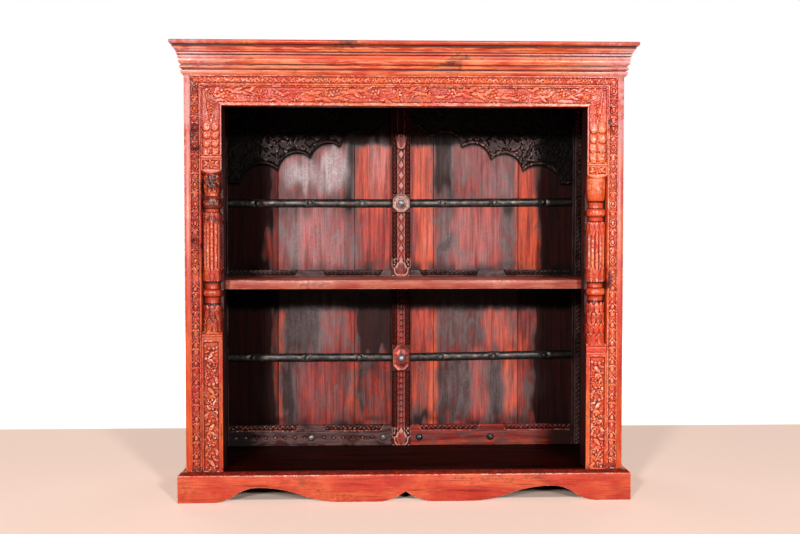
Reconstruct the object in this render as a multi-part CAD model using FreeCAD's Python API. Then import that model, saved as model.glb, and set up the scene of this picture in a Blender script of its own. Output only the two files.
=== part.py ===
"""Open bookcase with a carved front frame, a stacked cornice and a back of old door leaves.

Millimetres. X runs along the width, Y from the front to the back and Z up. The origin is on the floor,
under the middle of the overall box. Every piece is its own solid, or a group of like solids, in
parts/NAME.step. Right-hand pieces are drawn first. The left-hand ones are their mirror images, unless a
table gives the two sides different places.
"""

import FreeCAD
import Part
import math
import os

Vector = FreeCAD.Vector
UP = Vector(0, 0, 1)
BACKWARD = Vector(0, 1, 0)
RIGHTWARD = Vector(1, 0, 0)
ORIGIN = Vector(0, 0, 0)

# Carcase
body_width = 1150.0
body_depth = 367.0
side_thickness = 20.0
housing_depth = 6.0
back_rebate_depth = 10.0
bottom_board_thickness = 22.0
ceiling_thickness = 20.0
shelf_thickness = 24.0
upper_bay_height = 456.0
cleat_height = 22.0
cleat_width = 18.0
cleat_nose_height = 11.0
top_board_thickness = 12.0
top_board_overhang = 33.0
top_board_upper_round = 3.5
top_board_lower_round = 7.0
fascia_thickness = 20.0

# Plinth
plinth_height = 80.0
plinth_thickness = 20.0
plinth_chamfer = 9.0
plinth_foot_width = 89.0
plinth_arch_height = 39.0
plinth_arch_peak_share = 0.761
plinth_arch_start_share = 0.326
plinth_centre_flat_share = 0.168
plinth_notch_half_width = 12.0
plinth_notch_shoulder = 19.0
plinth_notch_height = 27.0
plinth_notch_sweep_sag = 6.0
plinth_back_thickness = 20.0
corner_block_width = 40.0
corner_block_height = 36.0

# Front frame
opening_height = 954.0
edge_reveal = 16.0
border_width = 28.0
border_proud = 4.0
border_fillet = 3.0
border_carving_depth = 1.5
bead_radius = 3.0
frieze_height = 27.0
frieze_depth = 30.0
head_rail_height = 52.0
head_rail_lip_height = 8.0
head_rail_upper_margin = 2.5
head_rail_edge_chamfer = 2.0
post_width = 54.0
post_depth = 72.0
post_proud = 8.5
carving_depth = 3.0
carving_margin = 5.0

# Turned and reeded column, worked on the front of each post
turning_clearance = 0.5
neck_radius = 21.5
ring_shoulder_height = 3.0
ring_shoulder_depth = 1.6
reed_core_radius = 22.0
reed_valley_radius = 22.6
reed_crest_radius = 25.6
reed_count = 14
petal_flare_radius = 25.4
petal_notch_depth = 2.2
petal_count = 10
bulb_sag = 2.2
shoulder_height = 16.0
panel_line_depth = 1.6

# Places along each post, as shares of the opening height above the floor of the lower bay
LEFT_STATION_SHARES = {
    "lower_line": 0.3704, "lower_line_top": 0.3765, "bulb": 0.3860, "bulb_top": 0.4612,
    "neck_1_top": 0.4810, "ring_1_top": 0.4994, "neck_2_top": 0.5241, "petals_1_top": 0.5535,
    "reeds_top": 0.6813, "petals_2_top": 0.7075, "neck_3_top": 0.7222, "ring_2_top": 0.7526,
    "neck_4_top": 0.7704, "capital_top": 0.8145, "upper_line": 0.8564, "upper_line_top": 0.8648,
}
RIGHT_STATION_SHARES = {
    "lower_line": 0.3246, "lower_line_top": 0.3396, "bulb": 0.3500, "bulb_top": 0.4665,
    "neck_1_top": 0.4822, "ring_1_top": 0.5010, "neck_2_top": 0.5210, "petals_1_top": 0.5545,
    "reeds_top": 0.6520, "petals_2_top": 0.6824, "neck_3_top": 0.6997, "ring_2_top": 0.7201,
    "neck_4_top": 0.7397, "capital_top": 0.8029, "upper_line": 0.8386, "upper_line_top": 0.8459,
}

# Joints of the front frame
foot_tenon_width = 26.0
tenon_thickness = 14.0
foot_tenon_length = 13.0
rail_tenon_height = 24.0
rail_tenon_cover = 8.0
joint_clearance = 0.2

# Cornice, from its foot up
cornice_foot_projection = 2.0
cornice_ovolo_height = 13.0
cornice_ovolo_projection = 7.5
cornice_ovolo_sag = 2.0
cornice_quirk_height = 2.5
cornice_quirk_depth = 2.5
cornice_bead_height = 10.0
cornice_bead_sag = 4.0
cornice_band_height = 22.0
cornice_band_foot_projection = 9.0
cornice_band_head_projection = 14.0
cornice_band_sag = 2.5
cornice_upper_quirk_height = 2.0
cornice_fillet_height = 4.5
cornice_fillet_projection = 17.5
cornice_cove_height = 18.5
cornice_cove_head_projection = 28.0
cornice_cove_sag = 3.0
cornice_cove_lip = 3.0

# Back of old door leaves: planks, battens behind them, and the carved strips on their face
plank_thickness = 16.0
plank_ground_clearance = 20.0
plank_edge_chamfer = 1.5
LEFT_PLANK_JOINT_SHARES = (0.637, 0.241)
RIGHT_PLANK_JOINT_SHARES = (0.170, 0.612)
batten_thickness = 16.0
batten_height = 70.0
BATTEN_LEVEL_SHARES = (0.07, 0.47, 0.87)
batten_nail_width = 5.0
batten_nail_length = 25.0
leaf_side_clearance = 20.0
leaf_stile_width = 30.0
leaf_stile_thickness = 12.0
leaf_stile_groove_width = 3.0
leaf_stile_groove_depth = 3.0
rail_thickness = 12.0
bottom_rail_height = 60.0
mid_rail_above_shelf = 18.0
mid_rail_below_shelf = 14.0
rail_band_height = 17.0
rail_band_depth = 5.0
rail_tab_width = 72.0
rail_tab_foot_width = 92.0
RAIL_TAB_PLACE_SHARES = (-0.02, 0.50)
centre_stile_width = 54.0
centre_stile_thickness = 20.0
centre_stile_band_width = 13.0
centre_stile_band_depth = 4.0
lozenge_width = 19.0
lozenge_pitch = 29.0
lozenge_height = 3.0
bud_height = 50.0
bud_shoulder_height = 24.0
bud_sag = 5.0
bud_thickness = 5.0
top_bud_drop = 126.0

# Cusped arch boards over the upper bay. Points are shares of the board's length and drop.
spandrel_thickness = 14.0
spandrel_drop = 245.0
SPANDREL_TIP_SHARES = ((0.930, 0.005), (0.693, 0.160), (0.496, 0.297), (0.317, 0.433), (0.136, 0.560))
SPANDREL_PEAK_SHARES = ((0.812, 0.230), (0.592, 0.362), (0.405, 0.478), (0.226, 0.615))
SPANDREL_OGEE_SHARES = ((0.075, 0.640), (0.0, 0.790))
spandrel_rim_width = 7.0
spandrel_rim_depth = 3.0

# Ironwork
bar_width = 26.0
bar_thickness = 10.0
bar_seat_thickness = 7.0
upper_bar_below_arch = 57.0
lower_bar_over_bay_middle = 21.0
upper_right_bar_rise = 4.0
lower_right_bar_rise = 7.0
BAR_RIVET_SHARES = {
    "upper_left": (0.18, 0.50, 0.82), "upper_right": (0.20, 0.52, 0.82),
    "lower_left": (0.20, 0.52, 0.85), "lower_right": (0.19, 0.515, 0.83),
}
bar_flat_length = 24.0
rivet_head_radius = 10.0
rivet_head_height = 5.5
shank_width = 6.0
head_facets = 8
head_shoulder_height_share = 0.35
head_crown_radius_share = 0.5
upper_boss_width = 50.0
upper_boss_height = 54.0
lower_boss_width = 49.0
lower_boss_height = 77.0
boss_thickness = 7.0
boss_corner_width = 15.0
boss_edge_chamfer = 2.0
boss_nail_head_radius = 12.0
boss_nail_head_height = 7.0
rail_stud_radius = 11.0
rail_stud_height = 5.0
RAIL_STUD_SHARES = (0.055, 0.495)
rail_stud_rise = 23.0

# How far a cutting tool overruns the face that it cuts
overrun = 5.0

# Places worked out from the sizes
half_body = body_width / 2
side_inner_x = half_body - side_thickness
rear_y = (body_depth + top_board_overhang) / 2
front_y = rear_y - body_depth
border_front_y = front_y - border_proud
post_front_y = front_y - post_proud
post_back_y = post_front_y + post_depth
head_rail_back_y = border_front_y + frieze_depth
plank_back_y = rear_y - batten_thickness
plank_front_y = plank_back_y - plank_thickness
leaf_face_y = plank_front_y - rail_thickness
centre_stile_face_y = plank_front_y - centre_stile_thickness

floor_z = plinth_height
opening_top_z = floor_z + opening_height
head_rail_top_z = opening_top_z + head_rail_height
frieze_top_z = head_rail_top_z + frieze_height
ceiling_z = frieze_top_z - ceiling_thickness
upper_cornice_z = (frieze_top_z + cornice_ovolo_height + cornice_quirk_height + cornice_bead_height
                   + cornice_quirk_height + cornice_band_height)
top_board_z = (upper_cornice_z + cornice_upper_quirk_height + cornice_fillet_height
               + cornice_cove_height)
shelf_top_z = opening_top_z - upper_bay_height
shelf_z = shelf_top_z - shelf_thickness
upper_bar_z = ceiling_z - spandrel_drop - upper_bar_below_arch
lower_bar_z = (floor_z + shelf_z) / 2 + lower_bar_over_bay_middle

border_outer_x = half_body - edge_reveal
post_outer_x = border_outer_x - border_width
opening_half = post_outer_x - post_width
post_centre_x = opening_half + post_width / 2
turning_axis_y = post_front_y + post_width / 2
ring_radius = post_width / 2 - turning_clearance
half_centre_stile = centre_stile_width / 2
leaf_half_width = side_inner_x - leaf_side_clearance
leaf_stile_inner_x = leaf_half_width - leaf_stile_width
rail_length = leaf_stile_inner_x - half_centre_stile
plank_outer_x = side_inner_x + back_rebate_depth


# Shape helpers
def box(x_range, y_range, z_range):
    size = [high - low for low, high in (x_range, y_range, z_range)]
    return Part.makeBox(*size, Vector(x_range[0], y_range[0], z_range[0]))


def mirrored(shape):
    return shape.mirror(ORIGIN, RIGHTWARD)


def joined(shapes):
    return shapes[0].fuse(list(shapes[1:])).removeSplitter()


def face_of(points):
    """A face inside the points, where a pair ("via", point) bends the edge to the next point."""
    edges = []
    start = points[0]
    via = None
    for item in [*points[1:], points[0]]:
        if isinstance(item, tuple):
            via = item[1]
            continue
        if via is None:
            edges.append(Part.LineSegment(start, item).toShape())
        else:
            edges.append(Part.Arc(start, via, item).toShape())
        start = item
        via = None
    return Part.Face(Part.Wire(edges))


def placed(outline, place):
    """The outline's flat points as vectors, where place(a, b) gives the vector of one point."""
    return [("via", place(*item[1])) if item[0] == "via" else place(*item) for item in outline]


def bend(start, end, sag):
    """An arc to end that bows by sag to the right of the way from start to end."""
    run = end[0] - start[0]
    rise = end[1] - start[1]
    length = math.hypot(run, rise)
    middle = ((start[0] + end[0]) / 2 + sag * rise / length, (start[1] + end[1]) / 2 - sag * run / length)
    return [("via", middle), end]


def s_curve(start, end):
    """Two equal arcs from start to end, level at both ends."""
    run = end[0] - start[0]
    rise = end[1] - start[1]
    radius = (run ** 2 + rise ** 2) / (4 * abs(rise))
    middle = ((start[0] + end[0]) / 2, (start[1] + end[1]) / 2)
    sag = radius - math.sqrt(radius ** 2 - (run ** 2 + rise ** 2) / 16)
    turn = math.copysign(sag, rise * run)
    return bend(start, middle, turn) + bend(middle, end, -turn)


def front_prism(outline, y_low, y_high):
    """A prism whose (x, z) outline faces the front."""
    face = face_of(placed(outline, lambda x, z: Vector(x, y_low, z)))
    return face.extrude(BACKWARD * (y_high - y_low))


def plan_prism(outline, z_low, z_high):
    face = face_of(placed(outline, lambda x, y: Vector(x, y, z_low)))
    return face.extrude(UP * (z_high - z_low))


def square_shank(x, z, width, y_low, y_high):
    return box((x - width / 2, x + width / 2), (y_low, y_high), (z - width / 2, z + width / 2))


def forged_nail(x, z, seat_y, radius, height, shank_length):
    """A nail or rivet: a faceted head on the plane seat_y that looks to the front, and its shank."""
    levels = ((0, radius), (height * head_shoulder_height_share, radius),
              (height, radius * head_crown_radius_share))
    rings = []
    for out, reach in levels:
        angles = [2 * math.pi * i / head_facets for i in range(head_facets)]
        rings.append([Vector(x + reach * math.cos(angle), seat_y - out, z + reach * math.sin(angle))
                      for angle in angles])
    faces = [face_of(rings[0]), face_of(rings[-1])]
    for lower, upper in zip(rings, rings[1:]):
        for i in range(head_facets):
            faces.append(face_of([lower[i - 1], lower[i], upper[i], upper[i - 1]]))
    head = Part.Solid(Part.Shell(faces))
    return head.fuse(square_shank(x, z, shank_width, seat_y, seat_y + shank_length))


# Runs of the plinth and the cornice, mitred at the front corners of the body
def front_run(profile, reach, z_low, z_high):
    """profile is an outline of (projection, height) points that project up to reach."""
    end_x = half_body + reach
    face = face_of(placed(profile, lambda out, z: Vector(-end_x, front_y - out, z)))
    keep = plan_prism([(-half_body, front_y), (half_body, front_y),
                       (end_x, front_y - reach), (-end_x, front_y - reach)], z_low, z_high)
    return face.extrude(RIGHTWARD * (2 * end_x)).common(keep)


def side_run(profile, reach, z_low, z_high):
    face = face_of(placed(profile, lambda out, z: Vector(half_body + out, front_y - reach, z)))
    keep = plan_prism([(half_body, front_y), (half_body + reach, front_y - reach),
                       (half_body + reach, rear_y), (half_body, rear_y)], z_low, z_high)
    return face.extrude(BACKWARD * (body_depth + reach)).common(keep)


# Plinth
def plinth_profile():
    return [(0, 0), (plinth_thickness, 0), (plinth_thickness, plinth_height - plinth_chamfer),
            (plinth_thickness - plinth_chamfer, plinth_height), (0, plinth_height)]


def plinth_front():
    """The front board, with a long low arch each side of a small pointed notch."""
    foot_x = half_body + plinth_thickness - plinth_foot_width
    shoulder = (plinth_notch_half_width, plinth_notch_shoulder)
    flat = (foot_x * plinth_centre_flat_share, 0)
    arch_start = (foot_x * plinth_arch_start_share, 0)
    arch_peak = (foot_x * plinth_arch_peak_share, plinth_arch_height)
    edge = [(0, plinth_notch_height), shoulder, *bend(shoulder, flat, plinth_notch_sweep_sag), arch_start,
            *s_curve(arch_start, arch_peak), *s_curve(arch_peak, (foot_x, 0)),
            (foot_x, -overrun), (0, -overrun)]
    cutter = front_prism(edge, front_y - plinth_thickness - overrun, front_y + overrun)
    board = front_run(plinth_profile(), plinth_thickness, 0, plinth_height)
    return board.cut([cutter, mirrored(cutter)])


def plinth_side():
    return side_run(plinth_profile(), plinth_thickness, 0, plinth_height)


def plinth_back():
    return box((-side_inner_x, side_inner_x), (plank_front_y - plinth_back_thickness, plank_front_y),
               (0, floor_z - bottom_board_thickness))


def corner_blocks():
    """Three-cornered glue blocks under the bottom board."""
    top_z = floor_z - bottom_board_thickness
    blocks = []
    for corner_y, turn in ((front_y, 1), (plank_front_y - plinth_back_thickness, -1)):
        outline = [(side_inner_x, corner_y), (side_inner_x - corner_block_width, corner_y),
                   (side_inner_x, corner_y + turn * corner_block_width)]
        block = plan_prism(outline, top_z - corner_block_height, top_z)
        blocks += [block, mirrored(block)]
    return Part.makeCompound(blocks)


# Carcase
def side_panel():
    """A side, housed for the bottom board and the ceiling and rebated for the back."""
    panel = box((side_inner_x, half_body), (front_y, rear_y), (0, top_board_z))
    housed_x = (side_inner_x - overrun, side_inner_x + housing_depth)
    bottom_housing = box(housed_x, (front_y - overrun, plank_front_y),
                         (floor_z - bottom_board_thickness, floor_z))
    ceiling_housing = box(housed_x, (post_back_y, plank_front_y), (ceiling_z, frieze_top_z))
    rebate = box((side_inner_x - overrun, plank_outer_x), (plank_front_y, rear_y + overrun),
                 (-overrun, top_board_z + overrun))
    return panel.cut([bottom_housing, ceiling_housing, rebate])


def bottom_board():
    reach = side_inner_x + housing_depth
    board = box((-reach, reach), (front_y, plank_front_y),
                (floor_z - bottom_board_thickness, floor_z))
    mortise = foot_tenon(joint_clearance)
    return board.cut([mortise, mirrored(mortise)])


def ceiling_board():
    """The board over the upper bay, notched at the front corners for the border strips."""
    reach = side_inner_x + housing_depth
    board = box((-reach, reach), (head_rail_back_y, plank_front_y), (ceiling_z, frieze_top_z))
    notch = box((post_outer_x, reach + overrun), (head_rail_back_y - overrun, post_back_y),
                (ceiling_z - overrun, frieze_top_z + overrun))
    return board.cut([notch, mirrored(notch)])


def cornice_fascia():
    return box((-side_inner_x, side_inner_x), (front_y, front_y + fascia_thickness),
               (frieze_top_z, top_board_z))


def rounded_rim(board, level, radius):
    """The board with its front and side edges at that level rounded over."""
    rim = [edge for edge in board.Edges
           if abs(edge.CenterOfMass.z - level) < joint_clearance
           and edge.CenterOfMass.y < rear_y - joint_clearance]
    return board.makeFillet(radius, rim)


def top_board():
    reach = half_body + top_board_overhang
    top_z = top_board_z + top_board_thickness
    board = box((-reach, reach), (front_y - top_board_overhang, rear_y), (top_board_z, top_z))
    board = rounded_rim(board, top_z, top_board_upper_round)
    return rounded_rim(board, top_board_z, top_board_lower_round)


def shelf():
    """It rests on the cleats behind the posts and is notched round the centre stile."""
    board = box((-side_inner_x, side_inner_x), (post_back_y, leaf_face_y), (shelf_z, shelf_top_z))
    notch_half = half_centre_stile + joint_clearance
    notch = box((-notch_half, notch_half),
                (centre_stile_face_y - joint_clearance, leaf_face_y + overrun),
                (shelf_z - overrun, shelf_top_z + overrun))
    return board.cut(notch)


def shelf_cleat():
    """Its lower front corner is cut back."""
    low_z = shelf_z - cleat_height
    outline = [(post_back_y, shelf_z), (plank_front_y, shelf_z), (plank_front_y, low_z),
               (post_back_y + cleat_height, low_z), (post_back_y, shelf_z - cleat_nose_height)]
    face = face_of(placed(outline, lambda y, z: Vector(side_inner_x - cleat_width, y, z)))
    return face.extrude(RIGHTWARD * cleat_width)


# Cornice
def lower_cornice_profile():
    """Ovolo, bead and swelling band, with a quirk under and over the bead."""
    ovolo_top = (cornice_ovolo_projection, frieze_top_z + cornice_ovolo_height)
    bead_foot = (ovolo_top[0] - cornice_quirk_depth, ovolo_top[1] + cornice_quirk_height)
    bead_top = (cornice_band_foot_projection - cornice_quirk_depth, bead_foot[1] + cornice_bead_height)
    band_foot = (cornice_band_foot_projection, bead_top[1] + cornice_quirk_height)
    band_top = (cornice_band_head_projection, band_foot[1] + cornice_band_height)
    foot = (cornice_foot_projection, frieze_top_z)
    return [(0, frieze_top_z), foot, *bend(foot, ovolo_top, cornice_ovolo_sag),
            (bead_foot[0], ovolo_top[1]), bead_foot, *bend(bead_foot, bead_top, cornice_bead_sag),
            (bead_top[0], band_foot[1]), band_foot, *bend(band_foot, band_top, cornice_band_sag),
            (0, band_top[1])]


def upper_cornice_profile():
    """Fillet and cove under the top board, over a quirk."""
    fillet_z = upper_cornice_z + cornice_upper_quirk_height
    quirk_out = cornice_fillet_projection - cornice_quirk_depth
    cove_foot = (cornice_fillet_projection, fillet_z + cornice_fillet_height)
    cove_head = (cornice_cove_head_projection, top_board_z - cornice_cove_lip)
    return [(0, upper_cornice_z), (quirk_out, upper_cornice_z), (quirk_out, fillet_z),
            (cornice_fillet_projection, fillet_z), cove_foot,
            *bend(cove_foot, cove_head, -cornice_cove_sag),
            (cornice_cove_head_projection, top_board_z), (0, top_board_z)]


# Front frame
def lapped_strip(outline, back_y):
    """A strip of the outer border, cut to lap over the front edges of the side panels."""
    strip = front_prism(outline, border_front_y, back_y)
    lap = box((side_inner_x, border_outer_x + overrun), (front_y, back_y + overrun),
              (0, frieze_top_z + overrun))
    return strip.cut([lap, mirrored(lap)])


def bead_along(start, direction, length, outline):
    """A half-round bead on the face of a strip, mitred to the strip's outline."""
    rod = Part.makeCylinder(bead_radius, length, start, direction)
    return rod.common(front_prism(outline, border_front_y - bead_radius, border_front_y + bead_radius))


def border_strip():
    """The upright border at the right: a bead along its inner edge, then a sunk carved band."""
    outline = [(post_outer_x, floor_z), (border_outer_x, floor_z), (border_outer_x, frieze_top_z),
               (post_outer_x, head_rail_top_z)]
    bead = bead_along(Vector(post_outer_x + bead_radius, border_front_y, floor_z), UP,
                      frieze_top_z - floor_z, outline)
    band = box((post_outer_x + 2 * bead_radius, border_outer_x - border_fillet),
               (border_front_y - overrun, border_front_y + border_carving_depth),
               (floor_z + border_fillet, head_rail_top_z))
    return joined([lapped_strip(outline, post_back_y).cut(band), bead])


def frieze_strip():
    """The border over the head rail, mitred to the upright borders."""
    outline = [(-post_outer_x, head_rail_top_z), (post_outer_x, head_rail_top_z),
               (border_outer_x, frieze_top_z), (-border_outer_x, frieze_top_z)]
    bead = bead_along(Vector(-border_outer_x, border_front_y, head_rail_top_z + bead_radius), RIGHTWARD,
                      2 * border_outer_x, outline)
    band = box((-post_outer_x, post_outer_x),
               (border_front_y - overrun, border_front_y + border_carving_depth),
               (head_rail_top_z + 2 * bead_radius, frieze_top_z - border_fillet))
    return joined([lapped_strip(outline, head_rail_back_y).cut(band), bead])


def rail_tenon(clearance):
    """The tenon at the right end of the head rail, behind the mitre."""
    middle_z = opening_top_z + head_rail_height / 2
    middle_y = (post_front_y + head_rail_back_y) / 2
    half_height = rail_tenon_height / 2 + clearance
    half_thickness = tenon_thickness / 2 + clearance
    return box((opening_half, post_outer_x - rail_tenon_cover + clearance),
               (middle_y - half_thickness, middle_y + half_thickness),
               (middle_z - half_height, middle_z + half_height))


def head_rail():
    """The rail over the opening, with a plain lip along its lower edge and a sunk carved band."""
    outline = [(-opening_half, opening_top_z), (opening_half, opening_top_z),
               (post_outer_x, head_rail_top_z), (-post_outer_x, head_rail_top_z)]
    rail = front_prism(outline, post_front_y, head_rail_back_y)
    band = box((-opening_half, opening_half), (post_front_y - overrun, post_front_y + carving_depth),
               (opening_top_z + head_rail_lip_height, head_rail_top_z - head_rail_upper_margin))
    arris = [(post_front_y - overrun, opening_top_z - overrun),
             (post_front_y + head_rail_edge_chamfer + overrun, opening_top_z - overrun),
             (post_front_y - overrun, opening_top_z + head_rail_edge_chamfer + overrun)]
    end_x = opening_half + overrun
    chamfer = face_of(placed(arris, lambda y, z: Vector(-end_x, y, z))).extrude(RIGHTWARD * (2 * end_x))
    tenon = rail_tenon(0)
    return joined([rail.cut([band, chamfer]), tenon, mirrored(tenon)])


def foot_tenon(clearance):
    """The stub tenon under the right post, which stands in the bottom board."""
    half_width = foot_tenon_width / 2 + clearance
    half_thickness = tenon_thickness / 2 + clearance
    return box((post_centre_x - half_width, post_centre_x + half_width),
               (turning_axis_y - half_thickness, turning_axis_y + half_thickness),
               (floor_z - foot_tenon_length - clearance, floor_z))


def turning_outline(station):
    """Radius and height from the foot of the post up. The square parts lie inside the wide radius."""
    wide = post_width
    neck = neck_radius
    flare = petal_flare_radius
    core = reed_core_radius
    points = [(0, floor_z), (wide, floor_z), (wide, station["bulb"] - shoulder_height),
              (ring_radius, station["bulb"])]
    points += bend((ring_radius, station["bulb"]), (neck, station["bulb_top"]), bulb_sag)
    points += ring(station["neck_1_top"], station["ring_1_top"])
    points += [(neck, station["neck_2_top"]), (flare, station["petals_1_top"]),
               (core, station["petals_1_top"]), (core, station["reeds_top"]),
               (flare, station["reeds_top"]), (neck, station["petals_2_top"])]
    points += ring(station["neck_3_top"], station["ring_2_top"])
    points += [(neck, station["neck_4_top"])]
    points += bend((neck, station["neck_4_top"]), (ring_radius, station["capital_top"]), bulb_sag)
    points += [(wide, station["capital_top"] + shoulder_height), (wide, head_rail_top_z + overrun),
               (0, head_rail_top_z + overrun)]
    return points


def ring(low_z, high_z):
    """A round ring between two sloped shoulders that start from the necks."""
    foot = (ring_radius - ring_shoulder_depth, low_z + ring_shoulder_height)
    head = (ring_radius - ring_shoulder_depth, high_z - ring_shoulder_height)
    return [(neck_radius, low_z), foot, *bend(foot, head, ring_shoulder_depth), (neck_radius, high_z)]


def around_post(radius, angle):
    """The plan place at that radius and angle about the turning axis."""
    return (post_centre_x + radius * math.cos(angle), turning_axis_y + radius * math.sin(angle))


def reeded_shaft(low_z, high_z):
    """A bundle of half-round reeds about the turning axis."""
    outline = []
    step = 2 * math.pi / reed_count
    for i in range(reed_count):
        outline += [around_post(reed_valley_radius, i * step),
                    ("via", around_post(reed_crest_radius, (i + 0.5) * step))]
    return plan_prism(outline, low_z, high_z)


def petal_notches(low_z, high_z):
    """V-shaped notches between the petals of a band."""
    step = 2 * math.pi / petal_count
    half_angle = petal_notch_depth / petal_flare_radius
    notches = []
    for i in range(petal_count):
        outline = [around_post(petal_flare_radius - petal_notch_depth, i * step),
                   around_post(post_width, i * step + half_angle),
                   around_post(post_width, i * step - half_angle)]
        notches.append(plan_prism(outline, low_z, high_z))
    return notches


def post(station_shares):
    """One post: square carved ends, and between them a turned and reeded half column."""
    station = {name: floor_z + opening_height * share for name, share in station_shares.items()}
    stock = [(opening_half, floor_z), (post_outer_x, floor_z),
             (post_outer_x, head_rail_top_z), (opening_half, opening_top_z)]
    turning = face_of(placed(turning_outline(station),
                             lambda radius, z: Vector(post_centre_x + radius, turning_axis_y, z)))
    turning = turning.revolve(Vector(post_centre_x, turning_axis_y, 0), UP, 360)
    turned = front_prism(stock, post_front_y, turning_axis_y).common(turning)
    turned = turned.cut(petal_notches(station["neck_2_top"], station["petals_1_top"])
                        + petal_notches(station["reeds_top"], station["petals_2_top"]))
    shaft = reeded_shaft(station["petals_1_top"], station["reeds_top"])
    shaft = shaft.common(front_prism(stock, post_front_y, turning_axis_y))
    backing = front_prism(stock, turning_axis_y, post_back_y)
    whole = joined([backing, turned, shaft, foot_tenon(0)])

    panel_x = (opening_half + carving_margin, post_outer_x - carving_margin)
    sunk_y = (post_front_y - overrun, post_front_y + carving_depth)
    cuts = [box(panel_x, sunk_y, (floor_z + carving_margin, station["lower_line"] - carving_margin)),
            box(panel_x, sunk_y, (station["upper_line_top"] + carving_margin, opening_top_z)),
            rail_tenon(joint_clearance)]
    for line in ("lower_line", "lower_line_top", "upper_line", "upper_line_top"):
        cuts.append(box((opening_half - overrun, post_outer_x + overrun),
                        (post_front_y - overrun, post_front_y + panel_line_depth),
                        (station[line] - panel_line_depth / 2, station[line] + panel_line_depth / 2)))
    return whole.cut(cuts)


# Places of the nails and rivets
def bar_rows():
    """Name, side, level and rise towards the outer end of each bar."""
    return [("upper_left", -1, upper_bar_z, 0), ("upper_right", 1, upper_bar_z, upper_right_bar_rise),
            ("lower_left", -1, lower_bar_z, 0), ("lower_right", 1, lower_bar_z, lower_right_bar_rise)]


def rivet_places():
    """(x, z) of every rivet through an iron bar, by bar."""
    return {name: [(side * (half_centre_stile + share * rail_length), level + rise * share)
                   for share in BAR_RIVET_SHARES[name]] for name, side, level, rise in bar_rows()}


def stud_places():
    return [(side * (half_centre_stile + share * rail_length), floor_z + rail_stud_rise)
            for side in (-1, 1) for share in RAIL_STUD_SHARES]


def front_shanks(y_low, y_high):
    """The shanks of all nails and rivets driven from the front, between two planes."""
    places = [(0, upper_bar_z), (0, lower_bar_z), *stud_places()]
    for group in rivet_places().values():
        places += group
    return [square_shank(x, z, shank_width, y_low, y_high) for x, z in places]


def batten_spans():
    span = top_board_z - plank_ground_clearance
    feet = [plank_ground_clearance + span * share for share in BATTEN_LEVEL_SHARES]
    return [(foot, foot + batten_height) for foot in feet]


def plank_edges():
    left = [-plank_outer_x * share for share in LEFT_PLANK_JOINT_SHARES]
    right = [plank_outer_x * share for share in RIGHT_PLANK_JOINT_SHARES]
    return [-plank_outer_x, *left, 0, *right, plank_outer_x]


def batten_nails():
    """One nail through each batten into each plank."""
    edges = plank_edges()
    return [square_shank((low + high) / 2, (z_low + z_high) / 2, batten_nail_width,
                         rear_y - batten_nail_length, rear_y)
            for low, high in zip(edges, edges[1:]) for z_low, z_high in batten_spans()]


# Back
def plank(x_low, x_high):
    """A back plank, with its long front edges eased."""
    board = box((x_low, x_high), (plank_front_y, plank_back_y), (plank_ground_clearance, top_board_z))
    cuts = []
    for edge_x, turn in ((x_low, 1), (x_high, -1)):
        outline = [(edge_x - turn * overrun, plank_front_y - overrun),
                   (edge_x + turn * (plank_edge_chamfer + overrun), plank_front_y - overrun),
                   (edge_x - turn * overrun, plank_front_y + plank_edge_chamfer + overrun)]
        cuts.append(plan_prism(outline, 0, top_board_z + overrun))
    return board.cut(cuts + front_shanks(plank_front_y - overrun, plank_back_y) + batten_nails())


def batten(span):
    board = box((-plank_outer_x, plank_outer_x), (plank_back_y, rear_y), span)
    return board.cut(batten_nails())


def leaf_stile():
    """The outer stile of a leaf, with two grooves down its face."""
    face_y = plank_front_y - leaf_stile_thickness
    strip = box((leaf_stile_inner_x, leaf_half_width), (face_y, plank_front_y), (floor_z, ceiling_z))
    grooves = []
    for i in (1, 2):
        middle = leaf_stile_inner_x + i * leaf_stile_width / 3
        grooves.append(box((middle - leaf_stile_groove_width / 2, middle + leaf_stile_groove_width / 2),
                           (face_y - overrun, face_y + leaf_stile_groove_depth),
                           (floor_z - overrun, ceiling_z + overrun)))
    return strip.cut(grooves)


def leaf_rail(z_low, z_high):
    """A rail of the right leaf, whose upper band is cut back between tapered tabs."""
    rail = box((half_centre_stile, leaf_stile_inner_x), (leaf_face_y, plank_front_y), (z_low, z_high))
    band_z = z_high - rail_band_height
    band = box((half_centre_stile - overrun, leaf_stile_inner_x + overrun),
               (leaf_face_y - overrun, leaf_face_y + rail_band_depth), (band_z, z_high + overrun))
    half_foot = rail_tab_foot_width / 2
    half_head = rail_tab_width / 2
    for share in RAIL_TAB_PLACE_SHARES:
        middle = half_centre_stile + rail_length * share
        tab = [(middle - half_foot, band_z), (middle + half_foot, band_z),
               (middle + half_head, z_high), (middle - half_head, z_high)]
        band = band.cut(front_prism(tab, leaf_face_y - overrun, leaf_face_y + rail_band_depth))
    return rail.cut(band)


def bottom_rail():
    rail = leaf_rail(floor_z, floor_z + bottom_rail_height)
    return rail.cut(front_shanks(leaf_face_y - overrun, plank_front_y + overrun))


def mid_rail():
    """The rail behind the shelf's rear edge."""
    return leaf_rail(shelf_z - mid_rail_below_shelf, shelf_top_z + mid_rail_above_shelf)


def bud(foot_z, shoulder_z, tip_z):
    """A pointed bud on the face of the centre stile, as high as from foot to tip."""
    half = half_centre_stile
    turn = math.copysign(bud_sag, tip_z - foot_z)
    outline = [(-half, foot_z), (half, foot_z), (half, shoulder_z),
               *bend((half, shoulder_z), (0, tip_z), turn), *bend((0, tip_z), (-half, shoulder_z), turn)]
    return front_prism(outline, centre_stile_face_y - bud_thickness, centre_stile_face_y)


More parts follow.
